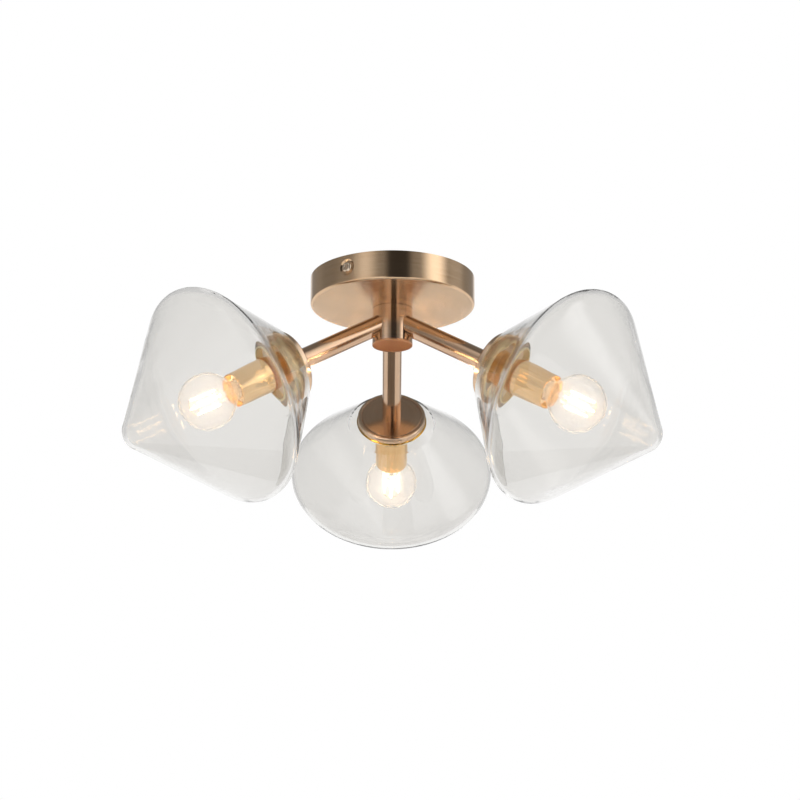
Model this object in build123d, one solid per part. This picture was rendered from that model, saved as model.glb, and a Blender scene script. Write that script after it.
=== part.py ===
from build123d import *
import math
import os

os.makedirs("parts", exist_ok=True)

# Round ceiling light with three straight arms, each ending in a cap, a lamp and a closed glass shade.
# Millimetres. The origin is the middle of the ceiling plane, the light hangs towards -Z,
# and the back arm points to +Y.

# Canopy, the spun cup that covers the ceiling box
CANOPY_DIAMETER = 135.0
CANOPY_HEIGHT = 23.5
CANOPY_WALL = 1.2
CANOPY_EDGE_RADIUS = 2.0
DIMPLE_DIAMETER = 14.0
DIMPLE_FLOOR_DIAMETER = 10.6
DIMPLE_DEPTH = 1.1

# Side screws that hold the canopy on the bracket, one each side
SIDE_SCREW_DIRECTION = 237.0
SIDE_SCREW_DROP = 10.3
SIDE_SCREW_DIAMETER = 4.0
SIDE_SCREW_LENGTH = 8.0
SIDE_SCREW_HEAD_DIAMETER = 8.6
SIDE_SCREW_HEAD_HEIGHT = 2.4
SIDE_SCREW_HEAD_ROUNDING = 1.44
SIDE_SCREW_TIP_CHAMFER = 0.4

# Ceiling bracket
STRAP_WIDTH = 18.0
STRAP_THICKNESS = 1.5
STRAP_BEND_RADIUS = 2.2
TAB_DROP = 16.0
CEILING_HOLE_DIAMETER = 5.5
CEILING_HOLE_PITCH = 90.0
CABLE_HOLE_DIAMETER = 12.0

# Terminal block and earth screw under the strap
TERMINAL_POLES = 3
TERMINAL_PITCH = 8.0
TERMINAL_WIDTH = 15.0
TERMINAL_HEIGHT = 12.0
TERMINAL_BASE_HEIGHT = 7.2
TERMINAL_TOWER_DIAMETER = 6.4
TERMINAL_SCREW_HOLE = 4.0
TERMINAL_SCREW_DEPTH = 3.6
TERMINAL_WIRE_HOLE = 3.4
TERMINAL_WIRE_DROP = 4.2
TERMINAL_OFFSET = 24.0
EARTH_SCREW_OFFSET = 26.0
EARTH_SCREW_DIAMETER = 4.0
EARTH_SCREW_HEAD_DIAMETER = 7.6
EARTH_SCREW_HEAD_HEIGHT = 2.8
EARTH_SCREW_HEAD_ROUNDING = 1.4

# Hollow threaded nipples, their nut and washer
NIPPLE_DIAMETER = 10.0
NIPPLE_BORE = 6.4
NUT_ACROSS_FLATS = 14.0
NUT_HEIGHT = 4.5
WASHER_DIAMETER = 20.0
WASHER_THICKNESS = 1.2
HUB_NIPPLE_LENGTH = 18.0

# Hub under the canopy
HUB_DIAMETER = 33.0
HUB_HEIGHT = 34.0
HUB_WALL = 2.5
HUB_TOP_WALL = 5.0
COVER_THICKNESS = 1.6
COVER_SPIGOT = 3.0
COVER_EDGE_RADIUS = 0.5

# Arms. Lengths along an arm start where its centre line meets the hub's
ARM_DIRECTIONS = {"back": 90.0, "left": 210.0, "right": 330.0}
ARM_TILT_ANGLE = 30.5
ARM_DIAMETER = 16.0
ARM_WALL = 1.2
ARM_ROOT_DROP = 10.5
ARM_ROOT_START = 13.0
ARM_REACH = 109.0
ARM_PLUG = 9.0

# Shade cap at the end of each arm, with its threaded skirt
CAP_DIAMETER = 51.0
CAP_THICKNESS = 1.8
CAP_EDGE_RADIUS = 0.35
SKIRT_DIAMETER = 48.4
SKIRT_WALL = 1.5
SKIRT_LENGTH = 13.0
INSULATOR_THICKNESS = 1.0

# Ring cemented on the neck of each glass
RING_DIAMETER = 58.0
RING_HEIGHT = 6.6
RING_SET_BACK = 0.3
RING_GROOVE = 0.6
RING_EDGE_RADIUS = 0.5
GLASS_SEAT_DEPTH = 2.4

# Shade glass. Drops are measured from the ring's lower face to the sharp corners before rounding
GLASS_WALL = 3.0
GLASS_NECK_WALL = 2.9
GLASS_LIP_DIAMETER = 60.6
GLASS_KNEE_DROP = 3.1
GLASS_KNEE_DIAMETER = 74.8
GLASS_KNEE_RADIUS = 4.0
GLASS_SHOULDER_DROP = 61.6
GLASS_SHOULDER_DIAMETER = 186.0
GLASS_SHOULDER_RADIUS = 13.0
GLASS_TIP_DROP = 157.1
GLASS_TIP_RADIUS = 15.0

# Lampholder and the metal sleeve around it
SLEEVE_DIAMETER = 27.5
SLEEVE_WALL = 0.75
SLEEVE_LENGTH = 53.2
SLEEVE_BOTTOM = 1.0
SLEEVE_EDGE_RADIUS = 0.3
HOLDER_LENGTH = 45.5
HOLDER_BASE_WALL = 5.0
HOLDER_WALL = 2.2
HOLDER_FLOOR = 4.0
SHELL_WALL = 0.5
SHELL_LENGTH = 18.0
CONTACT_DIAMETER = 6.4
CONTACT_THICKNESS = 0.4
CONTACT_HEIGHT = 2.2

# Lamp
LAMP_LENGTH = 75.5
LAMP_DIAMETER = 45.0
LAMP_GLASS_WALL = 0.8
LAMP_NECK_DIAMETER = 16.0
LAMP_NECK_ROUNDING = 4.0
LAMP_SKIRT_DIAMETER = 17.0
LAMP_SKIRT_HEIGHT = 3.0
LAMP_SCREW_DIAMETER = 13.6
LAMP_SCREW_LENGTH = 16.5
LAMP_BASE_WALL = 0.4
LAMP_TIP_HEIGHT = 3.6
LAMP_TIP_DIAMETER = 8.0
LAMP_CONTACT_DIAMETER = 4.6
LAMP_CONTACT_HEIGHT = 1.4
LAMP_CONTACT_ROUNDING = 0.84
STEM_DIAMETER = 5.0
STEM_LENGTH = 20.0
STEM_FLARE_THICKNESS = 1.0
FILAMENT_COUNT = 4
FILAMENT_DIAMETER = 1.6
FILAMENT_LENGTH = 22.0
FILAMENT_CIRCLE = 12.0
CROWN_THICKNESS = 0.8

# Clearances
FREE_FIT = 0.4
SCREW_FIT = 0.05
HOLE_FIT = 0.3
BRAZE_GAP = 0.1
LAMP_FIT = 0.35
CONTACT_GAP = 0.3
CEMENT_GAP = 0.2
LIP_GAP = 0.2


def disc(radius, low, high):
    """A solid cylinder on the local Z axis between two heights."""
    return Pos(0, 0, low) * Cylinder(radius, high - low, align=(Align.CENTER, Align.CENTER, Align.MIN))


def tube(inner, outer, low, high):
    """A hollow cylinder on the local Z axis between two heights."""
    return disc(outer, low, high) - disc(inner, low, high)


def offset_corner(before, corner, after, distance):
    """The corner of two profile lines after both move sideways, to the left of their direction."""

    def moved(start, end):
        run = math.dist(start, end)
        normal = ((start[1] - end[1]) / run, (end[0] - start[0]) / run)
        return [(p[0] + normal[0] * distance, p[1] + normal[1] * distance) for p in (start, end)]

    (ax, ay), (bx, by) = moved(before, corner)
    (cx, cy), (dx, dy) = moved(corner, after)
    cross = (bx - ax) * (dy - cy) - (by - ay) * (dx - cx)
    share = ((cx - ax) * (dy - cy) - (cy - ay) * (dx - cx)) / cross
    return (ax + (bx - ax) * share, ay + (by - ay) * share)


def rounding(before, corner, after, radius):
    """Start, middle and end of the arc that rounds a corner of a profile."""
    u = [(b - c) / math.dist(before, corner) for b, c in zip(before, corner)]
    v = [(a - c) / math.dist(after, corner) for a, c in zip(after, corner)]
    half = math.acos(max(-1.0, min(1.0, u[0] * v[0] + u[1] * v[1]))) / 2
    reach = radius / math.tan(half)
    length = math.hypot(u[0] + v[0], u[1] + v[1])
    middle_reach = radius / math.sin(half) - radius
    middle = [c + (p + q) / length * middle_reach for c, p, q in zip(corner, u, v)]
    start = [c + p * reach for c, p in zip(corner, u)]
    end = [c + q * reach for c, q in zip(corner, v)]
    return start, middle, end


def spun(points):
    """Revolves a closed profile around the local Z axis.

    Each point is (radius, height) or (radius, height, rounding). A rounded point on the
    axis becomes a dome that meets the axis square.
    """
    count = len(points)
    corners = []
    for number, point in enumerate(points):
        here = tuple(point[:2])
        if len(point) < 3:
            corners.append((here, None, here))
            continue
        before, after = points[number - 1][:2], points[(number + 1) % count][:2]
        if here[0] > 0:
            corners.append(rounding(before, here, after, point[2]))
            continue
        side, other = (before, after) if before[0] > 0 else (after, before)
        start, middle, _ = rounding(side, here, (-side[0], side[1]), point[2])
        sine = side[0] / math.dist(side, here)
        centre = here[1] + math.copysign(point[2] / sine, side[1] - here[1])
        turn = math.atan2(start[1] - centre, start[0])
        halfway = (turn + math.copysign(math.pi / 2, here[1] - centre)) / 2
        along = (point[2] * math.cos(halfway), centre + point[2] * math.sin(halfway))
        corners.append((start, along, middle) if side is before else (middle, along, start))
    edges = []
    for number, (start, middle, end) in enumerate(corners):
        if middle is not None:
            edges.append(ThreePointArc(*[(p[0], 0, p[1]) for p in (start, middle, end)]))
        following = corners[(number + 1) % count][0]
        if math.dist(end, following) > 1e-6:
            edges.append(Line((end[0], 0, end[1]), (following[0], 0, following[1])))
    return revolve(Face(Wire(edges)), Axis.Z, 360)


def radial(direction, height):
    """A frame on the canopy's side: local Z points outwards from the hub's centre line."""
    angle = math.radians(direction)
    outward = (math.cos(angle), math.sin(angle), 0)
    return Plane(origin=(0, 0, height), x_dir=(-outward[1], outward[0], 0), z_dir=outward)


def branch(direction):
    """An arm's own frame: local Z runs down the arm from where it meets the hub's centre line."""
    turn, tilt = math.radians(direction), math.radians(ARM_TILT_ANGLE)
    root = (0, 0, -CANOPY_HEIGHT - ARM_ROOT_DROP)
    sideways = (-math.sin(turn), math.cos(turn), 0)
    along = (math.cos(turn) * math.cos(tilt), math.sin(turn) * math.cos(tilt), -math.sin(tilt))
    return Plane(origin=root, x_dir=sideways, z_dir=along)


# Heights shared by the pieces around the ceiling
CANOPY_RADIUS = CANOPY_DIAMETER / 2
CANOPY_FLOOR = CANOPY_WALL - CANOPY_HEIGHT
DIMPLE_FLOOR = CANOPY_RADIUS - DIMPLE_DEPTH
TAB_FACE = DIMPLE_FLOOR - CANOPY_WALL
HUB_TOP = -CANOPY_HEIGHT
HUB_BOTTOM = HUB_TOP - HUB_HEIGHT
COVER_TOP = HUB_BOTTOM + COVER_THICKNESS
THREAD_RADIUS = NIPPLE_DIAMETER / 2
PASSAGE_RADIUS = THREAD_RADIUS + HOLE_FIT

# Places along an arm
CAP_UNDERSIDE = ARM_REACH + CAP_THICKNESS
SKIRT_END = CAP_UNDERSIDE + SKIRT_LENGTH
RING_TOP = ARM_REACH + RING_SET_BACK
RING_BOTTOM = RING_TOP + RING_HEIGHT
GLASS_START = RING_BOTTOM - GLASS_SEAT_DEPTH
OPENING_RADIUS = SKIRT_DIAMETER / 2 + FREE_FIT
NECK_RADIUS = OPENING_RADIUS + GLASS_NECK_WALL
SLEEVE_START = CAP_UNDERSIDE + INSULATOR_THICKNESS
SLEEVE_END = SLEEVE_START + SLEEVE_LENGTH
HOLDER_START = SLEEVE_START + SLEEVE_BOTTOM
HOLDER_END = HOLDER_START + HOLDER_LENGTH
LAMP_SEAT = HOLDER_END + CONTACT_GAP
LAMP_SKIRT_START = LAMP_SEAT + (LAMP_SKIRT_DIAMETER - LAMP_SCREW_DIAMETER) / 4
LAMP_SKIRT_END = LAMP_SKIRT_START + LAMP_SKIRT_HEIGHT
LAMP_SHELL_START = LAMP_SEAT - LAMP_SCREW_LENGTH
LAMP_START = LAMP_SHELL_START - LAMP_TIP_HEIGHT - LAMP_CONTACT_HEIGHT
LAMP_TOP = LAMP_START + LAMP_LENGTH
LAMP_GLASS_START = LAMP_SKIRT_START + LAMP_BASE_WALL
SHELL_RADIUS = LAMP_SCREW_DIAMETER / 2 + LAMP_FIT
SHELL_START = HOLDER_END - SHELL_LENGTH
SOCKET_RADIUS = SHELL_RADIUS + SHELL_WALL
SOCKET_FLOOR = LAMP_START - CONTACT_GAP - CONTACT_HEIGHT


def make_canopy():
    inner = CANOPY_RADIUS - CANOPY_WALL
    cup = spun([
        (THREAD_RADIUS + HOLE_FIT, -CANOPY_HEIGHT),
        (CANOPY_RADIUS, -CANOPY_HEIGHT, CANOPY_EDGE_RADIUS),
        (CANOPY_RADIUS, 0),
        (inner, 0),
        (inner, CANOPY_FLOOR, max(CANOPY_EDGE_RADIUS - CANOPY_WALL, CANOPY_WALL / 4)),
        (THREAD_RADIUS + HOLE_FIT, CANOPY_FLOOR),
    ])
    for direction in (SIDE_SCREW_DIRECTION, SIDE_SCREW_DIRECTION - 180):
        side = radial(direction, -SIDE_SCREW_DROP)
        depth = DIMPLE_DEPTH + CANOPY_WALL / 2
        flare = (DIMPLE_DIAMETER - DIMPLE_FLOOR_DIAMETER) / 2 / DIMPLE_DEPTH
        floor_radius = DIMPLE_FLOOR_DIAMETER / 2
        boss = Cone(floor_radius + CANOPY_WALL / 2, floor_radius + CANOPY_WALL / 2 + depth * flare, depth,
                    align=(Align.CENTER, Align.CENTER, Align.MIN))
        reach = 2 * DIMPLE_DEPTH
        dent = Cone(floor_radius, floor_radius + reach * flare, reach,
                    align=(Align.CENTER, Align.CENTER, Align.MIN))
        cup += side * Pos(0, 0, TAB_FACE) * boss
        cup -= side * Pos(0, 0, DIMPLE_FLOOR) * dent
        cup -= side * disc(SIDE_SCREW_DIAMETER / 2 + HOLE_FIT, TAB_FACE - CANOPY_WALL, CANOPY_RADIUS)
    return cup


def make_side_screw(direction):
    """Pan head on the dimple's floor, with its shank through the bracket's tab."""
    shank = SIDE_SCREW_DIAMETER / 2 - SCREW_FIT
    head = SIDE_SCREW_HEAD_DIAMETER / 2
    tip = DIMPLE_FLOOR - SIDE_SCREW_LENGTH
    body = spun([
        (0, tip),
        (shank - SIDE_SCREW_TIP_CHAMFER, tip),
        (shank, tip + SIDE_SCREW_TIP_CHAMFER),
        (shank, DIMPLE_FLOOR),
        (head, DIMPLE_FLOOR),
        (head, DIMPLE_FLOOR + SIDE_SCREW_HEAD_HEIGHT, SIDE_SCREW_HEAD_ROUNDING),
        (0, DIMPLE_FLOOR + SIDE_SCREW_HEAD_HEIGHT),
    ])
    return radial(direction, -SIDE_SCREW_DROP) * body


def make_bracket():
    """A strap against the ceiling, folded down at both ends behind the canopy's dimples."""
    outline = FilletPolyline(
        (-TAB_FACE, -TAB_DROP), (-TAB_FACE, 0),
        (TAB_FACE, 0), (TAB_FACE, -TAB_DROP),
        radius=STRAP_BEND_RADIUS)
    inside = FilletPolyline(
        (TAB_FACE - STRAP_THICKNESS, -TAB_DROP), (TAB_FACE - STRAP_THICKNESS, -STRAP_THICKNESS),
        (STRAP_THICKNESS - TAB_FACE, -STRAP_THICKNESS), (STRAP_THICKNESS - TAB_FACE, -TAB_DROP),
        radius=max(STRAP_BEND_RADIUS - STRAP_THICKNESS, STRAP_THICKNESS / 4))
    ends = [Line(outline @ 1, inside @ 0), Line(inside @ 1, outline @ 0)]
    section = make_face([*outline.edges(), *inside.edges(), *ends])
    strap = extrude(Plane.XZ * section, STRAP_WIDTH / 2, both=True)
    ceiling_hole = disc(CEILING_HOLE_DIAMETER / 2, -STRAP_THICKNESS, 0)
    for place in (-CEILING_HOLE_PITCH / 2, CEILING_HOLE_PITCH / 2):
        strap -= Pos(place, 0, 0) * ceiling_hole
    strap -= disc(CABLE_HOLE_DIAMETER / 2, -STRAP_THICKNESS, 0)
    strap -= Pos(-EARTH_SCREW_OFFSET, 0, 0) * disc(EARTH_SCREW_DIAMETER / 2, -STRAP_THICKNESS, 0)
    strap -= Pos(0, 0, -SIDE_SCREW_DROP) * Rot(0, 90, 0) * disc(SIDE_SCREW_DIAMETER / 2, -TAB_FACE, TAB_FACE)
    return Rot(0, 0, SIDE_SCREW_DIRECTION) * strap


def make_terminal_block():
    """Insulated poles in a row, each with a wire hole through it and a clamp screw from below."""
    length = TERMINAL_POLES * TERMINAL_PITCH
    top = -STRAP_THICKNESS
    low = top - TERMINAL_HEIGHT
    base = Box(length, TERMINAL_WIDTH, TERMINAL_BASE_HEIGHT, align=(Align.CENTER, Align.CENTER, Align.MAX))
    block = Pos(0, 0, top) * base
    for pole in range(TERMINAL_POLES):
        place = (pole - (TERMINAL_POLES - 1) / 2) * TERMINAL_PITCH
        block += Pos(place, 0, 0) * disc(TERMINAL_TOWER_DIAMETER / 2, low, top - TERMINAL_BASE_HEIGHT / 2)
        block -= Pos(place, 0, 0) * disc(TERMINAL_SCREW_HOLE / 2, low, low + TERMINAL_SCREW_DEPTH)
        wire = Rot(90, 0, 0) * Cylinder(TERMINAL_WIRE_HOLE / 2, 2 * TERMINAL_WIDTH)
        block -= Pos(place, 0, top - TERMINAL_WIRE_DROP) * wire
    return Rot(0, 0, SIDE_SCREW_DIRECTION) * Pos(TERMINAL_OFFSET, 0, 0) * block


def make_earth_screw():
    shank = EARTH_SCREW_DIAMETER / 2 - SCREW_FIT
    seat = -STRAP_THICKNESS
    body = spun([
        (0, seat - EARTH_SCREW_HEAD_HEIGHT),
        (EARTH_SCREW_HEAD_DIAMETER / 2, seat - EARTH_SCREW_HEAD_HEIGHT, EARTH_SCREW_HEAD_ROUNDING),
        (EARTH_SCREW_HEAD_DIAMETER / 2, seat),
        (shank, seat),
        (shank, 0),
        (0, 0),
    ])
    return Rot(0, 0, SIDE_SCREW_DIRECTION) * Pos(-EARTH_SCREW_OFFSET, 0, 0) * body


def make_hub():
    """A drilled cylinder under the canopy, open below, with a bore for each arm."""
    radius, inner = HUB_DIAMETER / 2, HUB_DIAMETER / 2 - HUB_WALL
    chamber_top = HUB_TOP - HUB_TOP_WALL
    hub = tube(inner, radius, COVER_TOP, chamber_top) + disc(radius, chamber_top, HUB_TOP)
    hub -= disc(THREAD_RADIUS, chamber_top, HUB_TOP)
    for direction in ARM_DIRECTIONS.values():
        hub -= branch(direction) * disc(ARM_DIAMETER / 2 + BRAZE_GAP, 0, HUB_DIAMETER)
    return hub


def make_hub_cover():
    radius = HUB_DIAMETER / 2
    spigot = radius - HUB_WALL - SCREW_FIT
    return spun([
        (0, HUB_BOTTOM),
        (radius, HUB_BOTTOM, COVER_EDGE_RADIUS),
        (radius, COVER_TOP),
        (spigot, COVER_TOP),
        (spigot, COVER_TOP + COVER_SPIGOT),
        (0, COVER_TOP + COVER_SPIGOT),
    ])


def make_nipple(low, high):
    return tube(NIPPLE_BORE / 2, THREAD_RADIUS - SCREW_FIT, low, high)


def make_hub_washer():
    return tube(PASSAGE_RADIUS, WASHER_DIAMETER / 2, CANOPY_FLOOR, CANOPY_FLOOR + WASHER_THICKNESS)


def make_hub_nut():
    """Hexagon nut with its corners turned back on the upper face."""
    low = CANOPY_FLOOR + WASHER_THICKNESS
    prism = extrude(RegularPolygon(NUT_ACROSS_FLATS / 2, 6, major_radius=False), NUT_HEIGHT)
    reach = NUT_ACROSS_FLATS / math.sqrt(3)
    crown = spun([(0, 0), (reach + THREAD_RADIUS, 0), (NUT_ACROSS_FLATS / 2, NUT_HEIGHT), (0, NUT_HEIGHT)])
    return Pos(0, 0, low) * (prism & crown) - disc(THREAD_RADIUS, low, low + NUT_HEIGHT)


def make_arm():
    """A straight tube from inside the hub to the cap, closed by a threaded plug at the cap."""
    radius = ARM_DIAMETER / 2
    return spun([
        (radius - ARM_WALL, ARM_ROOT_START),
        (radius, ARM_ROOT_START),
        (radius, ARM_REACH),
        (THREAD_RADIUS, ARM_REACH),
        (THREAD_RADIUS, ARM_REACH - ARM_PLUG),
        (radius - ARM_WALL, ARM_REACH - ARM_PLUG),
    ])


def make_cap():
    """A disc that seats the shade's ring, with a threaded skirt below it."""
    skirt = SKIRT_DIAMETER / 2
    return spun([
        (PASSAGE_RADIUS, ARM_REACH),
        (CAP_DIAMETER / 2, ARM_REACH, CAP_EDGE_RADIUS),
        (CAP_DIAMETER / 2, CAP_UNDERSIDE),
        (skirt, CAP_UNDERSIDE),
        (skirt, SKIRT_END),
        (skirt - SKIRT_WALL, SKIRT_END),
        (skirt - SKIRT_WALL, CAP_UNDERSIDE),
        (PASSAGE_RADIUS, CAP_UNDERSIDE),
    ])


def make_insulator():
    return tube(PASSAGE_RADIUS, SKIRT_DIAMETER / 2 - SKIRT_WALL - HOLE_FIT, CAP_UNDERSIDE, SLEEVE_START)


def make_sleeve():
    """A cup around the lampholder, clamped with it on the arm's nipple."""
    radius = SLEEVE_DIAMETER / 2
    return spun([
        (PASSAGE_RADIUS, SLEEVE_START),
        (radius, SLEEVE_START),
        (radius, SLEEVE_END, SLEEVE_EDGE_RADIUS),
        (radius - SLEEVE_WALL, SLEEVE_END, SLEEVE_EDGE_RADIUS),
        (radius - SLEEVE_WALL, HOLDER_START),
        (PASSAGE_RADIUS, HOLDER_START),
    ])


def make_lampholder():
    """Moulded body with a wiring chamber below and the lamp's socket above."""
    radius = SLEEVE_DIAMETER / 2 - SLEEVE_WALL - HOLE_FIT
    chamber_end = SOCKET_FLOOR - HOLDER_FLOOR
    body = disc(radius, HOLDER_START, HOLDER_END)
    body -= disc(THREAD_RADIUS, HOLDER_START, HOLDER_START + HOLDER_BASE_WALL)
    body -= disc(radius - HOLDER_WALL, HOLDER_START + HOLDER_BASE_WALL, chamber_end)
    body -= disc(SHELL_RADIUS, SOCKET_FLOOR, SHELL_START)
    body -= disc(SOCKET_RADIUS + SCREW_FIT, SHELL_START, HOLDER_END)
    return body


def make_holder_shell():
    return tube(SHELL_RADIUS, SOCKET_RADIUS, SHELL_START, HOLDER_END)


def make_holder_contact():
    """A sprung disc that reaches up to the lamp's own contact."""
    radius = CONTACT_DIAMETER / 2
    return spun([
        (0, SOCKET_FLOOR),
        (radius, SOCKET_FLOOR),
        (radius, SOCKET_FLOOR + CONTACT_THICKNESS),
        (radius / 2, SOCKET_FLOOR + CONTACT_HEIGHT),
        (0, SOCKET_FLOOR + CONTACT_HEIGHT),
    ])


def make_ring():
    """Threaded ring: a ledge under the cap's disc, a groove round that disc, a seat for the glass."""
    outer = RING_DIAMETER / 2
    groove = CAP_DIAMETER / 2 + RING_GROOVE
    return spun([
        (OPENING_RADIUS, CAP_UNDERSIDE),
        (groove, CAP_UNDERSIDE),
        (groove, RING_TOP),
        (outer, RING_TOP, RING_EDGE_RADIUS),
        (outer, RING_BOTTOM, RING_EDGE_RADIUS),
        (NECK_RADIUS + CEMENT_GAP, RING_BOTTOM),
        (NECK_RADIUS + CEMENT_GAP, GLASS_START),
        (OPENING_RADIUS, GLASS_START),
    ])


def make_glass():
    """A blown double cone: short neck, flare, straight cone, round shoulder, cone, round closed tip."""
    knee = (GLASS_KNEE_DIAMETER / 2, RING_BOTTOM + GLASS_KNEE_DROP)
    shoulder = (GLASS_SHOULDER_DIAMETER / 2, RING_BOTTOM + GLASS_SHOULDER_DROP)
    tip = (0, RING_BOTTOM + GLASS_TIP_DROP)
    lip = (GLASS_LIP_DIAMETER / 2, RING_BOTTOM + LIP_GAP)
    beyond_tip = (-shoulder[0], shoulder[1])
    inner_knee = offset_corner(lip, knee, shoulder, GLASS_WALL)
    inner_shoulder = offset_corner(knee, shoulder, tip, GLASS_WALL)
    inner_tip = offset_corner(shoulder, tip, beyond_tip, GLASS_WALL)
    mouth = RING_BOTTOM + LIP_GAP + GLASS_WALL / 2
    return spun([
        (OPENING_RADIUS, GLASS_START),
        (NECK_RADIUS, GLASS_START),
        (NECK_RADIUS, lip[1]),
        lip,
        (*knee, GLASS_KNEE_RADIUS),
        (*shoulder, GLASS_SHOULDER_RADIUS),
        (*tip, GLASS_TIP_RADIUS),
        (0, inner_tip[1], GLASS_TIP_RADIUS - GLASS_WALL),
        (*inner_shoulder, GLASS_SHOULDER_RADIUS - GLASS_WALL),
        (*inner_knee, max(GLASS_KNEE_RADIUS - GLASS_WALL, GLASS_WALL / 3)),
        (OPENING_RADIUS, mouth),
    ])


def make_lamp_glass():
    """A round envelope on a conical neck, open where the neck meets the base."""
    neck, radius = LAMP_NECK_DIAMETER / 2, LAMP_DIAMETER / 2
    low, centre = (neck, LAMP_GLASS_START), LAMP_TOP - radius
    bend = (neck, LAMP_SKIRT_END + LAMP_NECK_ROUNDING / 2)
    span = math.dist(bend, (0, centre))
    spread = math.asin(radius / span) - math.atan2(neck, centre - bend[1])
    side = (radius, bend[1] + (radius - neck) / math.tan(spread))
    crown, top = (radius, LAMP_TOP), (0, LAMP_TOP)
    inner_bend = offset_corner(low, bend, side, LAMP_GLASS_WALL)
    inner_side = offset_corner(bend, side, crown, LAMP_GLASS_WALL)
    inner_radius = radius - LAMP_GLASS_WALL
    return spun([
        low,
        (*bend, LAMP_NECK_ROUNDING),
        (*side, radius),
        (*crown, radius),
        top,
        (0, LAMP_TOP - LAMP_GLASS_WALL),
        (inner_radius, LAMP_TOP - LAMP_GLASS_WALL, inner_radius),
        (*inner_side, inner_radius),
        (*inner_bend, LAMP_NECK_ROUNDING + LAMP_GLASS_WALL),
        (neck - LAMP_GLASS_WALL, LAMP_GLASS_START),
    ])


def make_lamp_base():
    """The screw shell, which widens to a skirt around the glass neck."""
    screw, skirt, wall = LAMP_SCREW_DIAMETER / 2, LAMP_SKIRT_DIAMETER / 2, LAMP_BASE_WALL
    return spun([
        (screw - wall, LAMP_SHELL_START),
        (screw, LAMP_SHELL_START),
        (screw, LAMP_SEAT),
        (skirt, LAMP_SKIRT_START),
        (skirt, LAMP_SKIRT_END),
        (skirt - wall, LAMP_SKIRT_END),
        (skirt - wall, LAMP_SKIRT_START + wall / 2),
        (screw - wall, LAMP_SEAT + wall / 2),
    ])


def make_lamp_tip():
    """The insulating plug below the screw shell, with the centre contact."""
    screw, contact = LAMP_SCREW_DIAMETER / 2, LAMP_CONTACT_DIAMETER / 2
    plug = screw - LAMP_BASE_WALL - SCREW_FIT
    return spun([
        (0, LAMP_START),
        (contact, LAMP_START, LAMP_CONTACT_ROUNDING),
        (contact, LAMP_START + LAMP_CONTACT_HEIGHT),
        (LAMP_TIP_DIAMETER / 2, LAMP_START + LAMP_CONTACT_HEIGHT),
        (screw, LAMP_SHELL_START),
        (plug, LAMP_SHELL_START),
        (plug, LAMP_SHELL_START + LAMP_TIP_HEIGHT / 2),
        (0, LAMP_SHELL_START + LAMP_TIP_HEIGHT / 2),
    ])


def make_lamp_stem():
    """A glass disc that closes the neck, and the stem that carries the filaments."""
    flare = LAMP_NECK_DIAMETER / 2 - LAMP_GLASS_WALL - SCREW_FIT
    return (disc(flare, LAMP_GLASS_START, LAMP_GLASS_START + STEM_FLARE_THICKNESS)
            + disc(STEM_DIAMETER / 2, LAMP_GLASS_START, LAMP_GLASS_START + STEM_LENGTH))


def make_filament():
    """Straight filaments in a ring between two crowns, standing on the stem."""
    low = LAMP_GLASS_START + STEM_LENGTH
    crown = FILAMENT_CIRCLE / 2 + FILAMENT_DIAMETER
    cage = disc(crown, low, low + CROWN_THICKNESS)
    for number in range(FILAMENT_COUNT):
        place = Rot(0, 0, 360 * number / FILAMENT_COUNT) * Pos(FILAMENT_CIRCLE / 2, 0, 0)
        cage += place * disc(FILAMENT_DIAMETER / 2, low, low + CROWN_THICKNESS + FILAMENT_LENGTH)
    top = low + CROWN_THICKNESS + FILAMENT_LENGTH
    return cage + disc(crown, top, top + CROWN_THICKNESS)


fixture = {
    "ceiling_bracket": make_bracket(),
    "terminal_block": make_terminal_block(),
    "earth_screw": make_earth_screw(),
    "canopy": make_canopy(),
    "canopy_screw_front": make_side_screw(SIDE_SCREW_DIRECTION),
    "canopy_screw_back": make_side_screw(SIDE_SCREW_DIRECTION - 180),
    "hub": make_hub(),
    "hub_cover": make_hub_cover(),
    "hub_nipple": make_nipple(HUB_TOP - HUB_TOP_WALL, HUB_TOP - HUB_TOP_WALL + HUB_NIPPLE_LENGTH),
    "hub_washer": make_hub_washer(),
    "hub_nut": make_hub_nut(),
}
arm_pieces = {
    "arm": make_arm(),
    "arm_nipple": make_nipple(ARM_REACH - ARM_PLUG, HOLDER_START + HOLDER_BASE_WALL),
    "cap": make_cap(),
    "insulator": make_insulator(),
    "sleeve": make_sleeve(),
    "lampholder": make_lampholder(),
    "holder_shell": make_holder_shell(),
    "holder_contact": make_holder_contact(),
    "shade_ring": make_ring(),
    "shade_glass": make_glass(),
    "bulb_glass": make_lamp_glass(),
    "bulb_base": make_lamp_base(),
    "bulb_tip": make_lamp_tip(),
    "bulb_stem": make_lamp_stem(),
    "bulb_filament": make_filament(),
}

for name, solid in fixture.items():
    export_step(solid, f"parts/{name}.step")
for side, direction in ARM_DIRECTIONS.items():
    for name, solid in arm_pieces.items():
        export_step(branch(direction) * solid, f"parts/{name}_{side}.step")
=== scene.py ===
"""Looks of a three-arm ceiling light with closed glass shades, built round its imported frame."""

import logging
import math
from collections.abc import Sequence
from dataclasses import dataclass, field
from enum import Enum
from typing import Any

import bpy
from mathutils import Matrix, Vector


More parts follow.
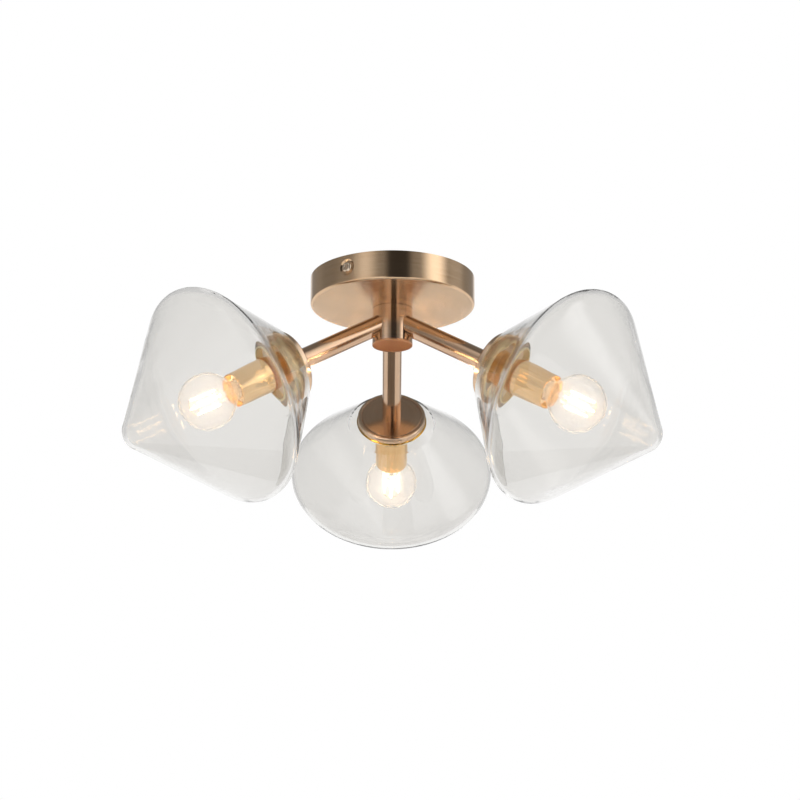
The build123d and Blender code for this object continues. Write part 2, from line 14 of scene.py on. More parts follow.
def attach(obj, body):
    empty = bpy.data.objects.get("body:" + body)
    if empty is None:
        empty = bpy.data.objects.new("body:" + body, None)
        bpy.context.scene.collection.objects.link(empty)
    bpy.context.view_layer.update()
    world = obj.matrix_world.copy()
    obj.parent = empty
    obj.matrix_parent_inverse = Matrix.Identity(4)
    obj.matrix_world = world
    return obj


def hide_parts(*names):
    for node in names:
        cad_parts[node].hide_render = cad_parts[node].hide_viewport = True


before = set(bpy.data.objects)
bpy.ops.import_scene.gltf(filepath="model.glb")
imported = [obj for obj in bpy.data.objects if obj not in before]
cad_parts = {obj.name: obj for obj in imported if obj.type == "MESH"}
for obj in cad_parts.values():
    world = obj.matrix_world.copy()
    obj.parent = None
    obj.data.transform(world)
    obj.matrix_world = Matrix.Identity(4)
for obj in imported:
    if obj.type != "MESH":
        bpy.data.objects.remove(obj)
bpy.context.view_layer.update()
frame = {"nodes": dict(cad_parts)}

log = logging.getLogger("ceiling_light")

MM = 0.001
HANG_POINT = -34.0 * MM  # height at which the three arm axes meet in the hub
ARM_TILT = math.radians(30.5)
POLE_RADIUS = 0.004  # millimetres: the radius of a ring that stands for a point on the axis

Outline = Sequence[Sequence[float]]
Profile = list[tuple[float, float]]
Piece = bpy.types.Object
Material = bpy.types.Material
Tree = bpy.types.NodeTree
Node = bpy.types.Node
Socket = bpy.types.NodeSocket


def axes(across: Vector, along: Vector) -> Matrix:
    """Makes a turned frame from two of its directions.

    Args:
        across: unit direction of its local X.
        along: unit direction of its local Z.

    Returns:
        The turn as a matrix.
    """
    return Matrix((across, along.cross(across), along)).transposed().to_4x4()


class Arm(Enum):
    """The three arms, each with its direction in degrees from +X towards +Y."""

    BACK = 90.0
    LEFT = 210.0
    RIGHT = 330.0

    @property
    def side(self) -> str:
        """The arm's name as its nodes and bodies end."""
        return self.name.lower()

    @property
    def axis(self) -> Vector:
        """Unit vector down the arm."""
        turn, flat = math.radians(self.value), math.cos(ARM_TILT)
        return Vector((math.cos(turn) * flat, math.sin(turn) * flat, -math.sin(ARM_TILT)))

    @property
    def place(self) -> Matrix:
        """The arm's own frame: local Z runs down the arm from the hang point."""
        turn = math.radians(self.value)
        across = Vector((-math.sin(turn), math.cos(turn), 0.0))
        return Matrix.Translation((0.0, 0.0, HANG_POINT)) @ axes(across, self.axis)


class Grain(Enum):
    """How a metal surface was brushed."""

    TURNED = "round the axis, as on a lathe"
    DRAWN = "along the axis, as a drawn tube"


class ThreadForm(Enum):
    """Height of the thread's flank, as shares of its depth, at even steps of one pitch."""

    ROUND = (0.0, 0.14, 0.5, 0.86, 1.0, 0.86, 0.5, 0.14)
    SHARP = (0.0, 0.0, 0.45, 0.95, 1.0, 0.95, 0.45, 0.0)


def linear(colour: str) -> tuple[float, float, float, float]:
    """Turns an sRGB hex colour to the linear values that the shaders take.

    Args:
        colour: six hex digits after a hash.

    Returns:
        Red, green, blue and an alpha of 1.
    """
    parts = [int(colour[i:i + 2], 16) / 255 for i in (1, 3, 5)]
    red, green, blue = [c / 12.92 if c <= 0.04045 else ((c + 0.055) / 1.055) ** 2.4 for c in parts]
    return red, green, blue, 1.0


def add_node(tree: Tree, kind: str, inputs: dict[Any, Any] | None = None) -> Node:
    """Adds one shader node with its settings and links.

    Args:
        tree: the material's or world's node tree.
        kind: the node's type, without the words that every one starts with, and its operation if any.
        inputs: node properties by name, and input sockets by name or number. A node or a socket given as
            the value is linked, a node by its first output, and anything else is set.

    Returns:
        The new node.
    """
    sort, *operation = kind.split()
    node = tree.nodes.new(f"ShaderNode{sort}")
    if operation:
        node.operation = operation[0]
    for key, value in (inputs or {}).items():
        source = value.outputs[0] if isinstance(value, Node) else value
        if isinstance(source, Socket):
            tree.links.new(source, node.inputs[key])
        elif isinstance(key, str) and key not in node.inputs and hasattr(node, key):
            setattr(node, key, value)
        else:
            node.inputs[key].default_value = value
    return node


def new_material(name: str) -> tuple[Material, Tree, Socket]:
    """Starts a material.

    Args:
        name: the finish's name.

    Returns:
        The material, its tree and its object coordinates.
    """
    made = bpy.data.materials.new(name)
    made.use_nodes = True
    made.node_tree.nodes.clear()
    return made, made.node_tree, add_node(made.node_tree, "TexCoord").outputs["Object"]


@dataclass(frozen=True)
class BrushedMetal:
    """Copper-plated steel, brushed in fine lines and lacquered.

    The eye sees a warm metal that mirrors sharply along its brush lines and smears across them.
    """

    name: str
    colour: str = "#D3B69B"
    dark: str = "#C4A284"
    roughness: float = 0.2
    spread: float = 0.08  # how far the roughness swings between one line and the next
    anisotropy: float = 0.8
    grain: Grain = Grain.TURNED
    painted_reflection: str = ""  # a pale colour beyond a distance along the axis: a painted reflection of the white that the metal mirrors there
    painted_reflection_from_mm: float = 0.0
    line_pitch_mm: float = 0.3  # real lines are near 0.05 mm, drawn coarser so that they show
    line_length_mm: float = 30.0
    line_depth_mm: float = 0.0006
    cloud_mm: float = 22.0
    cloud_share: float = 0.4

    def build(self, centre: Vector, axis: Vector) -> Material:
        """Makes the finish for one axis of brushing.

        Args:
            centre: a point on the axis that the brush lines follow.
            axis: unit direction of that axis.

        Returns:
            The material.
        """
        made, tree, where = new_material(self.name)
        arm = add_node(tree, "VectorMath SUBTRACT", {0: where, 1: centre})
        along = add_node(tree, "VectorMath DOT_PRODUCT", {0: arm, 1: axis}).outputs["Value"]
        shift = add_node(tree, "VectorMath SCALE", {0: axis, "Scale": along})
        spoke = add_node(tree, "VectorMath SUBTRACT", {0: arm, 1: shift})
        radius = add_node(tree, "VectorMath LENGTH", {0: spoke}).outputs["Value"]
        around = add_node(tree, "VectorMath CROSS_PRODUCT", {0: axis, 1: spoke})
        stretch = self.line_pitch_mm / self.line_length_mm
        if self.grain is Grain.TURNED:
            # lines follow the turning: fast change with radius and height, slow change round the axis
            slow = add_node(tree, "VectorMath SCALE", {0: spoke, "Scale": stretch})
            ladder = add_node(tree, "Math ADD", {0: along, 1: radius})
            fast = add_node(tree, "VectorMath SCALE", {0: axis, "Scale": ladder})
            normal = add_node(tree, "NewGeometry").outputs["Normal"]
            tangent = add_node(tree, "VectorMath CROSS_PRODUCT", {0: around, 1: normal})
        else:
            # lines run down the tube: fast change round it, slow change along it
            slow = add_node(tree, "VectorMath SCALE", {0: shift, "Scale": stretch})
            fast, tangent = spoke, around
        pattern = add_node(tree, "VectorMath ADD", {0: slow, 1: fast})
        lines = add_node(tree, "TexNoise", {"Scale": 1 / (self.line_pitch_mm * MM), "Detail": 1.0,
                                            "Roughness": 0.5, "Vector": pattern})
        clouds = add_node(tree, "TexNoise", {"Scale": 1 / (self.cloud_mm * MM), "Detail": 2.0,
                                             "Vector": where})
        blend = add_node(tree, "Math MULTIPLY_ADD", {0: clouds, 1: self.cloud_share, 2: lines})
        tone = add_node(tree, "MapRange", {"From Min": 0.4, "From Max": 1.0, "Value": blend})
        colour = add_node(tree, "Mix", {"data_type": "RGBA", 0: tone, 6: linear(self.dark),
                                        7: linear(self.colour)}).outputs[2]
        # painted reflection: beyond the given distance along the axis the colour turns pale
        if self.painted_reflection:
            beyond = add_node(tree, "Math GREATER_THAN", {0: along, 1: self.painted_reflection_from_mm * MM})
            colour = add_node(tree, "Mix", {"data_type": "RGBA", 0: beyond, 6: colour,
                                            7: linear(self.painted_reflection)}).outputs[2]
        rough = add_node(tree, "MapRange", {"From Min": 0.3, "From Max": 0.7,
                                            "To Min": self.roughness - self.spread / 2,
                                            "To Max": self.roughness + self.spread / 2, "Value": lines})
        bump = add_node(tree, "Bump", {"Strength": 1.0, "Distance": self.line_depth_mm * MM,
                                       "Height": lines})
        shader = add_node(tree, "BsdfPrincipled", {
            "Metallic": 1.0, "Anisotropic": self.anisotropy, "Base Color": colour, "Roughness": rough,
            "Normal": bump, "Tangent": tangent})
        add_node(tree, "OutputMaterial", {"Surface": shader})
        return made


@dataclass(frozen=True)
class Grained:
    """A cast, stamped or plated surface, metal unless it says otherwise.

    The eye sees two close tones in a cloudy grain, and a sheen broken up a little by a fine relief.
    """

    name: str
    colour: str
    worn: str
    roughness: float
    grain_mm: float
    detail: float = 4.0  # how many finer layers the grain has
    relief_mm: float = 0.01
    relief_share: float = 0.2
    swing: float = 0.2  # share by which the roughness follows the grain
    metallic: float = 1.0
    glow: float = 0.0

    def build(self) -> Material:
        """Makes the finish.

        Returns:
            The material.
        """
        made, tree, where = new_material(self.name)
        grain = add_node(tree, "TexNoise", {"Scale": 1 / (self.grain_mm * MM), "Detail": self.detail,
                                            "Vector": where})
        tone = add_node(tree, "Mix", {"data_type": "RGBA", 0: grain, 6: linear(self.worn),
                                      7: linear(self.colour)})
        surface: dict[str, Any] = {"Metallic": self.metallic, "Roughness": self.roughness,
                                   "Base Color": tone.outputs[2]}
        if self.swing:
            surface["Roughness"] = add_node(tree, "MapRange", {
                "From Min": 0.3, "From Max": 0.7, "To Min": self.roughness * (1 - self.swing),
                "To Max": self.roughness * (1 + self.swing), "Value": grain})
        if self.relief_share:
            surface["Normal"] = add_node(tree, "Bump", {
                "Strength": self.relief_share, "Distance": self.relief_mm * MM, "Height": grain})
        if self.glow:
            surface |= {"Emission Color": linear(self.colour), "Emission Strength": self.glow}
        add_node(tree, "OutputMaterial", {"Surface": add_node(tree, "BsdfPrincipled", surface)})
        return made


@dataclass(frozen=True)
class MouldedPlastic(Grained):
    """Moulded heat-resistant plastic or pressed glass. The eye sees a soft sheen over a satin texture."""

    roughness: float = 0.42
    grain_mm: float = 0.6
    detail: float = 3.0
    relief_mm: float = 0.02
    relief_share: float = 0.15
    swing: float = 0.0
    metallic: float = 0.0


@dataclass(frozen=True)
class LitPhosphor(MouldedPlastic):
    """A phosphor-coated rod, lit. The eye sees a warm white that is far brighter than all round it."""

    roughness: float = 0.6
    grain_mm: float = 0.8
    detail: float = 2.0
    relief_share: float = 0.0
    glow: float = 1900.0


@dataclass(frozen=True)
class ClearGlass:
    """Clear soda-lime glass, blown. The eye sees through it, with grey and bright contours at its bends.

    A share of its surface can carry a film that spreads the glare of what is lit behind it.
    """

    name: str
    colour: str
    film_share: float = 0.0
    film_roughness: float = 0.4
    film_grain_mm: float = 0.2  # real dust is near 0.01 mm, drawn coarser so that it shows

    def build(self) -> Material:
        """Makes the finish.

        Returns:
            The material.
        """
        made, tree, where = new_material(self.name)
        rough: Node | float = 0.0  # all over, unless a film covers a share
        if self.film_share:
            # each grain of the film is rough, and the glass between them is clear
            grid = (self.film_grain_mm * MM,) * 3
            snapped = add_node(tree, "VectorMath SNAP", {0: where, 1: grid})
            grains = add_node(tree, "TexWhiteNoise", {"noise_dimensions": "3D", "Vector": snapped})
            chosen = add_node(tree, "Math LESS_THAN", {0: grains, 1: self.film_share})
            rough = add_node(tree, "MapRange", {"To Max": self.film_roughness, "Value": chosen})
        shader = add_node(tree, "BsdfPrincipled", {"Base Color": linear(self.colour), "Roughness": rough,
                                                   "IOR": 1.5, "Transmission Weight": 1.0})
        add_node(tree, "OutputMaterial", {"Surface": shader})
        return made


def dress(piece: Piece, finish: Material) -> None:
    """Gives every material slot of a piece one finish.

    Args:
        piece: a mesh object.
        finish: the material.
    """
    if not piece.material_slots:
        piece.data.materials.append(finish)
    for slot in piece.material_slots:
        slot.material = finish


def clear_selection() -> None:
    """Leaves nothing selected and the scene in object mode."""
    if bpy.context.mode != "OBJECT":
        bpy.ops.object.mode_set(mode="OBJECT")
    bpy.ops.object.select_all(action="DESELECT")


def pick(*pieces: Piece) -> None:
    """Selects some pieces and nothing else, with the first one active.

    Args:
        pieces: the pieces.
    """
    clear_selection()
    for piece in pieces:
        piece.select_set(True)
    bpy.context.view_layer.objects.active = pieces[0]


def edit(piece: Piece) -> None:
    """Opens a piece in edit mode with its whole mesh selected.

    Args:
        piece: a mesh object.
    """
    pick(piece)
    bpy.ops.object.mode_set(mode="EDIT")
    bpy.ops.mesh.select_all(action="SELECT")


def face_out() -> None:
    """Turns the open mesh's faces outwards and closes edit mode."""
    bpy.ops.mesh.select_all(action="SELECT")
    bpy.ops.mesh.normals_make_consistent(inside=False)
    bpy.ops.object.mode_set(mode="OBJECT")


def rounded(points: Outline, steps: int) -> Profile:
    """Rounds the corners of a profile.

    Args:
        points: (radius, height) or (radius, height, rounding) in millimetres.
        steps: straight pieces in each arc.

    Returns:
        The profile as (radius, height) points.
    """
    outline: Profile = []
    for number, point in enumerate(points):
        if len(point) < 3:
            outline.append((point[0], point[1]))
            continue
        corner = Vector(point[:2])
        before, after = Vector(points[number - 1][:2]), Vector(points[(number + 1) % len(points)][:2])
        first, second = (before - corner).normalized(), (after - corner).normalized()
        half = first.angle(second) / 2
        centre = corner + (first + second).normalized() * point[2] / math.sin(half)
        start = corner + first * point[2] / math.tan(half) - centre
        sweep = (math.pi - 2 * half) * math.copysign(1, first.x * second.y - first.y * second.x) * -1
        for step in range(steps + 1):
            share = sweep * step / steps
            outline.append((centre.x + start.x * math.cos(share) - start.y * math.sin(share),
                            centre.y + start.x * math.sin(share) + start.y * math.cos(share)))
    return outline


def arc(radius: float, centre: float, angles: Sequence[float]) -> Profile:
    """Finds points on a circle about the axis.

    Args:
        radius: of the circle.
        centre: its height.
        angles: of the points, off the axis.

    Returns:
        The points.
    """
    return [(radius * math.sin(angle), centre + radius * math.cos(angle)) for angle in angles]


def turn(name: str, points: Outline, segments: int, steps: int = 4) -> Piece:
    """Raises a turned body ring by ring from a circle, as on a lathe.

    Args:
        name: the piece's name.
        points: the closed profile in millimetres, outside upwards, as rounded() takes it.
        segments: faces round the axis.
        steps: straight pieces in each of the profile's arcs.

    Returns:
        The body, with its outside facing out.
    """
    clear_selection()
    rings = [(max(radius, POLE_RADIUS), height) for radius, height in rounded(points, steps)]
    radius, height = rings[0]
    bpy.ops.mesh.primitive_circle_add(vertices=segments, radius=radius * MM,
                                      location=(0.0, 0.0, height * MM))
    body = bpy.context.active_object
    body.name = body.data.name = name
    bpy.ops.object.transform_apply(location=True, rotation=True, scale=True)
    edit(body)
    for next_radius, next_height in (*rings[1:], rings[0]):
        bpy.ops.mesh.extrude_edges_move(
            TRANSFORM_OT_translate={"value": (0.0, 0.0, (next_height - height) * MM)})
        scale = next_radius / radius
        bpy.ops.transform.resize(value=(scale, scale, 1.0), center_override=(0.0, 0.0, next_height * MM))
        radius, height = next_radius, next_height
    bpy.ops.mesh.select_all(action="SELECT")
    bpy.ops.mesh.remove_doubles(threshold=POLE_RADIUS * 2.5 * MM)
    face_out()
    return body


def smooth(piece: Piece, degrees: float = 35.0) -> None:
    """Shades a piece smooth, with its sharp edges kept.

    Args:
        piece: a mesh object.
        degrees: the bend past which an edge stays sharp.
    """
    pick(piece)
    bpy.ops.object.shade_smooth_by_angle(angle=math.radians(degrees))


def settle(piece: Piece, place: Matrix) -> Piece:
    """Moves a piece to its place and puts that place into its mesh.

    Args:
        piece: a piece modelled at the origin.
        place: where it goes.

    Returns:
        The same piece, unturned and at the origin.
    """
    piece.matrix_world = place @ piece.matrix_world
    pick(piece)
    bpy.ops.object.transform_apply(location=True, rotation=True, scale=True)
    return piece


def twin(piece: Piece, name: str) -> Piece:
    """Copies a piece with its own mesh.

    Args:
        piece: what is copied.
        name: the copy's name.

    Returns:
        The copy.
    """
    copy = piece.copy()
    copy.data = piece.data.copy()
    copy.name = copy.data.name = name
    bpy.context.scene.collection.objects.link(copy)
    return copy


def apply_modifiers(piece: Piece) -> None:
    """Applies a piece's modifiers from first to last.

    Args:
        piece: a mesh object.
    """
    pick(piece)
    for modifier in list(piece.modifiers):
        bpy.ops.object.modifier_apply(modifier=modifier.name)


def waver(piece: Piece, name: str, size: float, strength: float, layers: int, middle: float,
          group: str = "") -> None:
    """Lets a surface wander in soft waves.

    Args:
        piece: a mesh object.
        name: the wave's name.
        size: width of a wave in millimetres.
        strength: height of a wave in millimetres.
        layers: how many finer layers the waves have.
        middle: the share of the height that lies inside the surface.
        group: the vertex group that moves, or nothing for all.
    """
    clouds = bpy.data.textures.new(name, "CLOUDS")
    clouds.noise_scale, clouds.noise_depth = size * MM, layers
    waves = piece.modifiers.new(name, "DISPLACE")
    waves.texture, waves.texture_coords, waves.direction = clouds, "LOCAL", "NORMAL"
    waves.vertex_group, waves.mid_level, waves.strength = group, middle, strength * MM
    apply_modifiers(piece)


def hand_over(piece: Piece, finish: Material, body: str, node: str) -> None:
    """Dresses a finished piece and hands it to its body.

    Args:
        piece: the piece, in its place.
        finish: its material.
        body: the body that it rides on.
        node: the node that it stands for, or nothing.
    """
    dress(piece, finish)
    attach(piece, body)
    if node:
        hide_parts(node)
    log.info("%s: %d faces", piece.name, len(piece.data.polygons))


def hang(blank: Piece, title: str, finish: Material | dict[Arm, Material], body: str, node: str,
         shadow: bool = True, spins: dict[Arm, float] | None = None) -> None:
    """Sets a copy of a blank on each arm, hands it over and removes the blank.

    Args:
        blank: the piece, modelled on the local Z axis.
        title: the copies' name, before the arm's.
        finish: one material, or one for each arm.
        body: "fixture", or the start of the name of the arm's own body.
        node: the start of the name of the node that each stands for, or nothing.
        shadow: False for clear glass, which lets the filaments light what is outside it.
        spins: each copy's turn about its arm in degrees.
    """
    for arm in Arm:
        spin = Matrix.Rotation(math.radians(spins[arm] if spins else 0.0), 4, "Z")
        piece = settle(twin(blank, f"{title}_{arm.side}"), arm.place @ spin)
        piece.visible_shadow = shadow
        hand_over(piece, finish[arm] if isinstance(finish, dict) else finish,
                  body if body == "fixture" else f"{body}_{arm.side}", node and f"{node}_{arm.side}")
    bpy.data.objects.remove(blank)


@dataclass(frozen=True)
class Thread:
    """A screw thread on the local Z axis. Sizes in millimetres.

    A wall above 0 goes in from the crests, and one below 0 goes out, for a thread inside a bore.
    """

    root: float
    crest: float
    low: float
    high: float
    pitch: float
    wall: float
    form: ThreadForm
    steps: int

    def wind(self, name: str) -> Piece:
        """Draws one pitch of the flank, point by point, and winds it up.

        Args:
            name: the piece's name.

        Returns:
            The wound surface, longer than the thread at both ends.
        """
        shares, depth = self.form.value, self.crest - self.root
        clear_selection()
        bpy.ops.mesh.primitive_plane_add(size=MM)
        body = bpy.context.active_object
        body.name = body.data.name = name
        edit(body)
        bpy.ops.mesh.merge(type="CENTER")
        foot, start = self.root + depth * shares[0], self.low - self.pitch
        bpy.ops.transform.translate(value=(foot * MM, 0.0, start * MM))
        for before, share in zip(shares, (*shares[1:], shares[0])):
            bpy.ops.mesh.extrude_vertices_move(TRANSFORM_OT_translate={
                "value": (depth * (share - before) * MM, 0.0, self.pitch / len(shares) * MM)})
        bpy.ops.object.mode_set(mode="OBJECT")
        winding = body.modifiers.new("winding", "SCREW")
        winding.axis, winding.angle, winding.screw_offset = "Z", math.tau, self.pitch * MM
        winding.iterations = math.ceil((self.high - self.low) / self.pitch) + 2
        winding.steps = winding.render_steps = self.steps
        winding.use_merge_vertices, winding.merge_threshold = True, POLE_RADIUS / 2 * MM
        apply_modifiers(body)
        return body

    def build(self, name: str) -> Piece:
        """Winds the thread, trims both ends square and gives it its wall.

        Args:
            name: the piece's name.

        Returns:
            The thread.
        """
        body = self.wind(name)
        edit(body)
        bpy.ops.mesh.remove_doubles(threshold=POLE_RADIUS * MM)
        for height, under in ((self.low, True), (self.high, False)):
            bpy.ops.mesh.select_all(action="SELECT")
            bpy.ops.mesh.bisect(plane_co=(0.0, 0.0, height * MM), plane_no=(0.0, 0.0, 1.0),
                                clear_inner=under, clear_outer=not under)
        face_out()
        face = body.data.polygons[len(body.data.polygons) // 2]
        if face.normal.dot(Vector((face.center.x, face.center.y, 0.0))) < 0:
            edit(body)
            bpy.ops.mesh.flip_normals()
            bpy.ops.object.mode_set(mode="OBJECT")
        wall = body.modifiers.new("wall", "SOLIDIFY")
        wall.thickness, wall.offset = abs(self.wall) * MM, math.copysign(1.0, -self.wall)
        apply_modifiers(body)
        return body


def join(first: Piece, *others: Piece) -> Piece:
    """Joins meshes into the first.

    Args:
        first: the piece that stays.
        others: the pieces that it takes up.

    Returns:
        The first piece.
    """
    pick(first, *others)
    bpy.ops.object.join()
    return first


def offset_corner(before: Sequence[float], corner: Sequence[float], after: Sequence[float],
                  distance: float) -> tuple[float, float]:
    """Moves two profile lines sideways and finds where they meet.

    Args:
        before: the point before the corner.
        corner: the corner.
        after: the point after it.
        distance: how far both lines move to the left of their direction.

    Returns:
        The moved corner.
    """
    a, b, c = Vector(before[:2]), Vector(corner[:2]), Vector(after[:2])
    u, v = (b - a).normalized(), (c - b).normalized()
    start, end = a + Vector((-u.y, u.x)) * distance, b + Vector((-v.y, v.x)) * distance
    share = ((end.x - start.x) * v.y - (end.y - start.y) * v.x) / (u.x * v.y - u.y * v.x)
    met = start + u * share
    return met.x, met.y


@dataclass
class GlassShades:
    """The three blown double cones, each closed at its tip. Sizes in millimetres down the arm."""

    opening_radius: float = 24.6
    neck_radius: float = 27.5
    start: float = 113.5
    lip: tuple[float, float] = (30.3, 116.1)
    knee: tuple[float, float, float] = (37.4, 119.0, 4.0)
    shoulder: tuple[float, float, float] = (92.94, 177.5, 13.0)
    tip_height: float = 272.985
    tip_radius: float = 15.0
    wall: float = 3.0
    segments: int = 160
    arc_steps: int = 10
    ring_gap: float = 5.0  # longest straight run between two rings, so that the ripple has points to move
    ripple_size: float = 30.0
    ripple_height: float = 0.8
    ripple_from: float = 131.0
    ripple_fade: float = 22.0
    ripple_pole: float = 4.0
    spins: dict[Arm, float] = field(
        default_factory=lambda: {Arm.BACK: 40.0, Arm.LEFT: 0.0, Arm.RIGHT: 155.0})

    def profile(self) -> Profile:
        """The closed wall profile, outside from the neck to the tip and back inside.

        Returns:
            The profile's points.
        """
        knee, shoulder, tip = self.knee[:2], self.shoulder[:2], (0.0, self.tip_height)
        inner_knee = offset_corner(self.lip, knee, shoulder, self.wall)
        inner_shoulder = offset_corner(knee, shoulder, tip, self.wall)
        inner_tip = offset_corner(shoulder, tip, (-shoulder[0], shoulder[1]), self.wall)
        opening, neck, lip, steps = self.opening_radius, self.neck_radius, self.lip[1], self.arc_steps
        outside = rounded([
            (opening, self.start), (neck, self.start, 0.3), (neck, lip, 0.2), (*self.lip, 0.6), self.knee,
            self.shoulder, tip], steps)[:-1]
        inside = rounded([
            tip, (*inner_shoulder, self.shoulder[2] - self.wall), (*inner_knee, 1.0),
            (opening, lip + self.wall / 2, 0.4), (opening, self.start)], steps)[1:-1]
        crown = self.dome(shoulder, self.tip_height, self.tip_radius)
        hollow = self.dome(inner_shoulder, inner_tip[1], self.tip_radius - self.wall)
        return self.fill(outside + crown) + self.fill(hollow[::-1] + inside)

    @staticmethod
    def dome(side: Sequence[float], height: float, radius: float) -> Profile:
        """The round end of a cone, from where it leaves the cone to the axis.

        Args:
            side: a point on the cone.
            height: where the cone would end in a point.
            radius: the rounding.

        Returns:
            The arc's points.
        """
        slope = math.atan2(side[0], height - side[1])  # half the cone's angle
        centre, sweep = height - radius / math.sin(slope), math.pi / 2 - slope
        return arc(radius, centre, [sweep * (1 - step / 8) for step in range(9)])

    def fill(self, points: Outline) -> Profile:
        """Adds rings on the long straight runs.

        Args:
            points: a profile.

        Returns:
            The profile with its added points.
        """
        filled: Profile = [(points[0][0], points[0][1])]
        for here, after in zip(points, points[1:]):
            count = max(1, math.ceil(math.dist(here, after) / self.ring_gap))
            for step in range(1, count + 1):
                share = step / count
                filled.append((here[0] + (after[0] - here[0]) * share,
                               here[1] + (after[1] - here[1]) * share))
        return filled

    def build(self, glass: Material) -> None:
        """Models one shade, ripples its walls and hangs a copy on each arm.

        Args:
            glass: the shades' finish.
        """
        blank = turn("shade_blank", self.profile(), self.segments)
        self.ripple(blank)
        smooth(blank, 32.0)
        hang(blank, "blown_shade", glass, "shade", "shade_glass", False, self.spins)

    def ripple(self, blank: Piece) -> None:
        """Lets the inside of the wall wander, as blown glass does, and leaves the outside true.

        Args:
            blank: the shade.
        """
        group = blank.vertex_groups.new(name="inside")
        for polygon in blank.data.polygons:
            spoke = Vector((polygon.center.x, polygon.center.y, 0.0))
            inward = polygon.normal.dot(spoke) < 0 or spoke.length < self.ripple_pole * MM
            rise = (polygon.center.z / MM - self.ripple_from) / self.ripple_fade
            if inward and rise > 0:
                group.add(list(polygon.vertices), min(1.0, rise), "REPLACE")
        waver(blank, "shade_ripple", self.ripple_size, self.ripple_height, 1, 0.5, "inside")


@dataclass
class Lamps:
    """Small clear globe lamps with straight filaments. Sizes in millimetres down the arm."""

    globe_radius: float = 22.5
    centre: float = 190.1
    neck_radius: float = 8.0
    neck_start: float = 159.85
    bend_height: float = 164.45
    wall: float = 0.8
    screw_radius: float = 6.8
    screw_root: float = 6.1
    screw_pitch: float = 2.82
    screw_sheet: float = 0.35
    shell_start: float = 142.1
    seat: float = 158.6
    skirt_radius: float = 8.5
    skirt_start: float = 159.45
    skirt_end: float = 162.45
    skirt_sheet: float = 0.4
    contact_start: float = 137.1
    contact_radius: float = 2.3
    contact_height: float = 1.4
    filament_low: float = 179.85
    filament_high: float = 203.5
    filament_radius: float = 0.8
    filament_circle: float = 6.0
    filament_count: int = 4
    cap_gap: float = 0.45  # from a filament's end to the wire that holds it
    wire: float = 0.3

    def face(self, shrink: float, rounding: float) -> Profile:
        """One face of the glass wall, from the neck over the bend to the top.

        Args:
            shrink: how far it lies inside the outer face.
            rounding: of the bend where the neck meets the globe.

        Returns:
            Its points.
        """
        neck, radius = self.neck_radius - shrink, self.globe_radius - shrink
        span = math.hypot(neck, self.centre - self.bend_height)
        touch = math.pi / 2 + math.asin(radius / span) - math.atan2(neck, self.centre - self.bend_height)
        first, *others = arc(radius, self.centre, [touch * (1 - step / 22) for step in range(23)])
        return rounded([(neck, self.neck_start), (neck, self.bend_height, rounding), first], 6) + others

    def base(self) -> Piece:
        """The rolled screw shell with its skirt.

        Returns:
            The base.
        """
        shell = Thread(self.screw_root, self.screw_radius, self.shell_start + 0.6, self.seat - 0.9,
                       self.screw_pitch, self.screw_sheet, ThreadForm.ROUND, 40).build("lamp_base")
        rim, waist, sheet = self.skirt_radius, self.screw_radius - self.screw_sheet, self.skirt_sheet
        skirt = turn("lamp_skirt", [
            (waist - sheet, self.seat - 1.2), (waist, self.seat - 1.2), (waist + 0.3, self.seat, 0.3),
            (rim, self.skirt_start, 0.5), (rim, self.skirt_end, 0.2), (rim - sheet, self.skirt_end, 0.1),
            (rim - sheet, self.skirt_start + 0.3, 0.3), (waist - sheet, self.seat + 0.3)], 40)
        root, low = self.screw_root, self.shell_start
        collar = turn("lamp_collar", [
            (root - 1.1, low), (root - 0.2, low, 0.2), (root + 0.25, low + 0.9), (root - 0.1, low + 1.0),
            (root - 1.1, low + 0.6)], 40, 3)
        return join(shell, skirt, collar)

    def tip(self) -> tuple[Piece, Piece]:
        """The dark insulator below the shell and the soldered contact in its middle.

        Returns:
            The insulator and the contact.
        """
        low, mid, radius = self.contact_start, self.contact_start + self.contact_height, self.contact_radius
        root, shell = self.screw_root, self.shell_start
        insulator = turn("lamp_insulator", [
            (0.0, mid), (radius - 0.3, mid), (4.0, mid, 0.5), (root - 0.3, shell - 0.1),
            (root - 0.9, shell + 1.8, 0.3), (0.0, shell + 1.8)], 32)
        contact = turn("lamp_contact", [
            (0.0, low), (radius * 0.6, low + 0.1, 0.6), (radius, low + 0.9, 0.3), (radius, mid + 0.05),
            (0.0, mid + 0.05)], 32)
        return insulator, contact

    def filaments(self) -> tuple[Piece, Piece]:
        """The lit rods, and the wire frame that carries them on the stem.

        Returns:
            The rods and the frame.
        """
        low, high, radius = self.filament_low, self.filament_high, self.filament_radius
        blank = turn("rod", [(0.0, low + 0.9), (radius, low + 0.9, 0.35), (radius, high - 0.9, 0.35),
                             (0.0, high - 0.9)], 12, 3)
        settle(blank, Matrix.Translation((self.filament_circle * MM, 0.0, 0.0)))
        lift = Matrix.Translation((0.0, 0.0, (low + self.cap_gap) * MM))
        lean = lift @ Matrix.Rotation(math.pi / 2, 4, "Y")
        rods, wires = [], [self.hoop(low + self.cap_gap), self.hoop(high - self.cap_gap)]
        for number in range(self.filament_count):
            turned = Matrix.Rotation(math.tau * number / self.filament_count, 4, "Z")
            rods.append(settle(twin(blank, f"lit_rod_{number}"), turned))
            spoke = turn("spoke", [(0.0, 0.0), (self.wire, 0.0, 0.1), (self.wire, self.filament_circle, 0.1),
                                   (0.0, self.filament_circle)], 8, 2)
            wires.append(settle(spoke, turned @ lean))
        bpy.data.objects.remove(blank)
        return join(*rods), join(*wires)

    def hoop(self, height: float) -> Piece:
        """A wire hoop through the rods' ends.

        Args:
            height: where it lies.

        Returns:
            The hoop.
        """
        circle, wire = self.filament_circle, self.wire
        around = [math.tau * step / 8 for step in range(8)]
        return turn("hoop", [(circle + wire * math.cos(angle), height + wire * math.sin(angle))
                             for angle in around], 32)

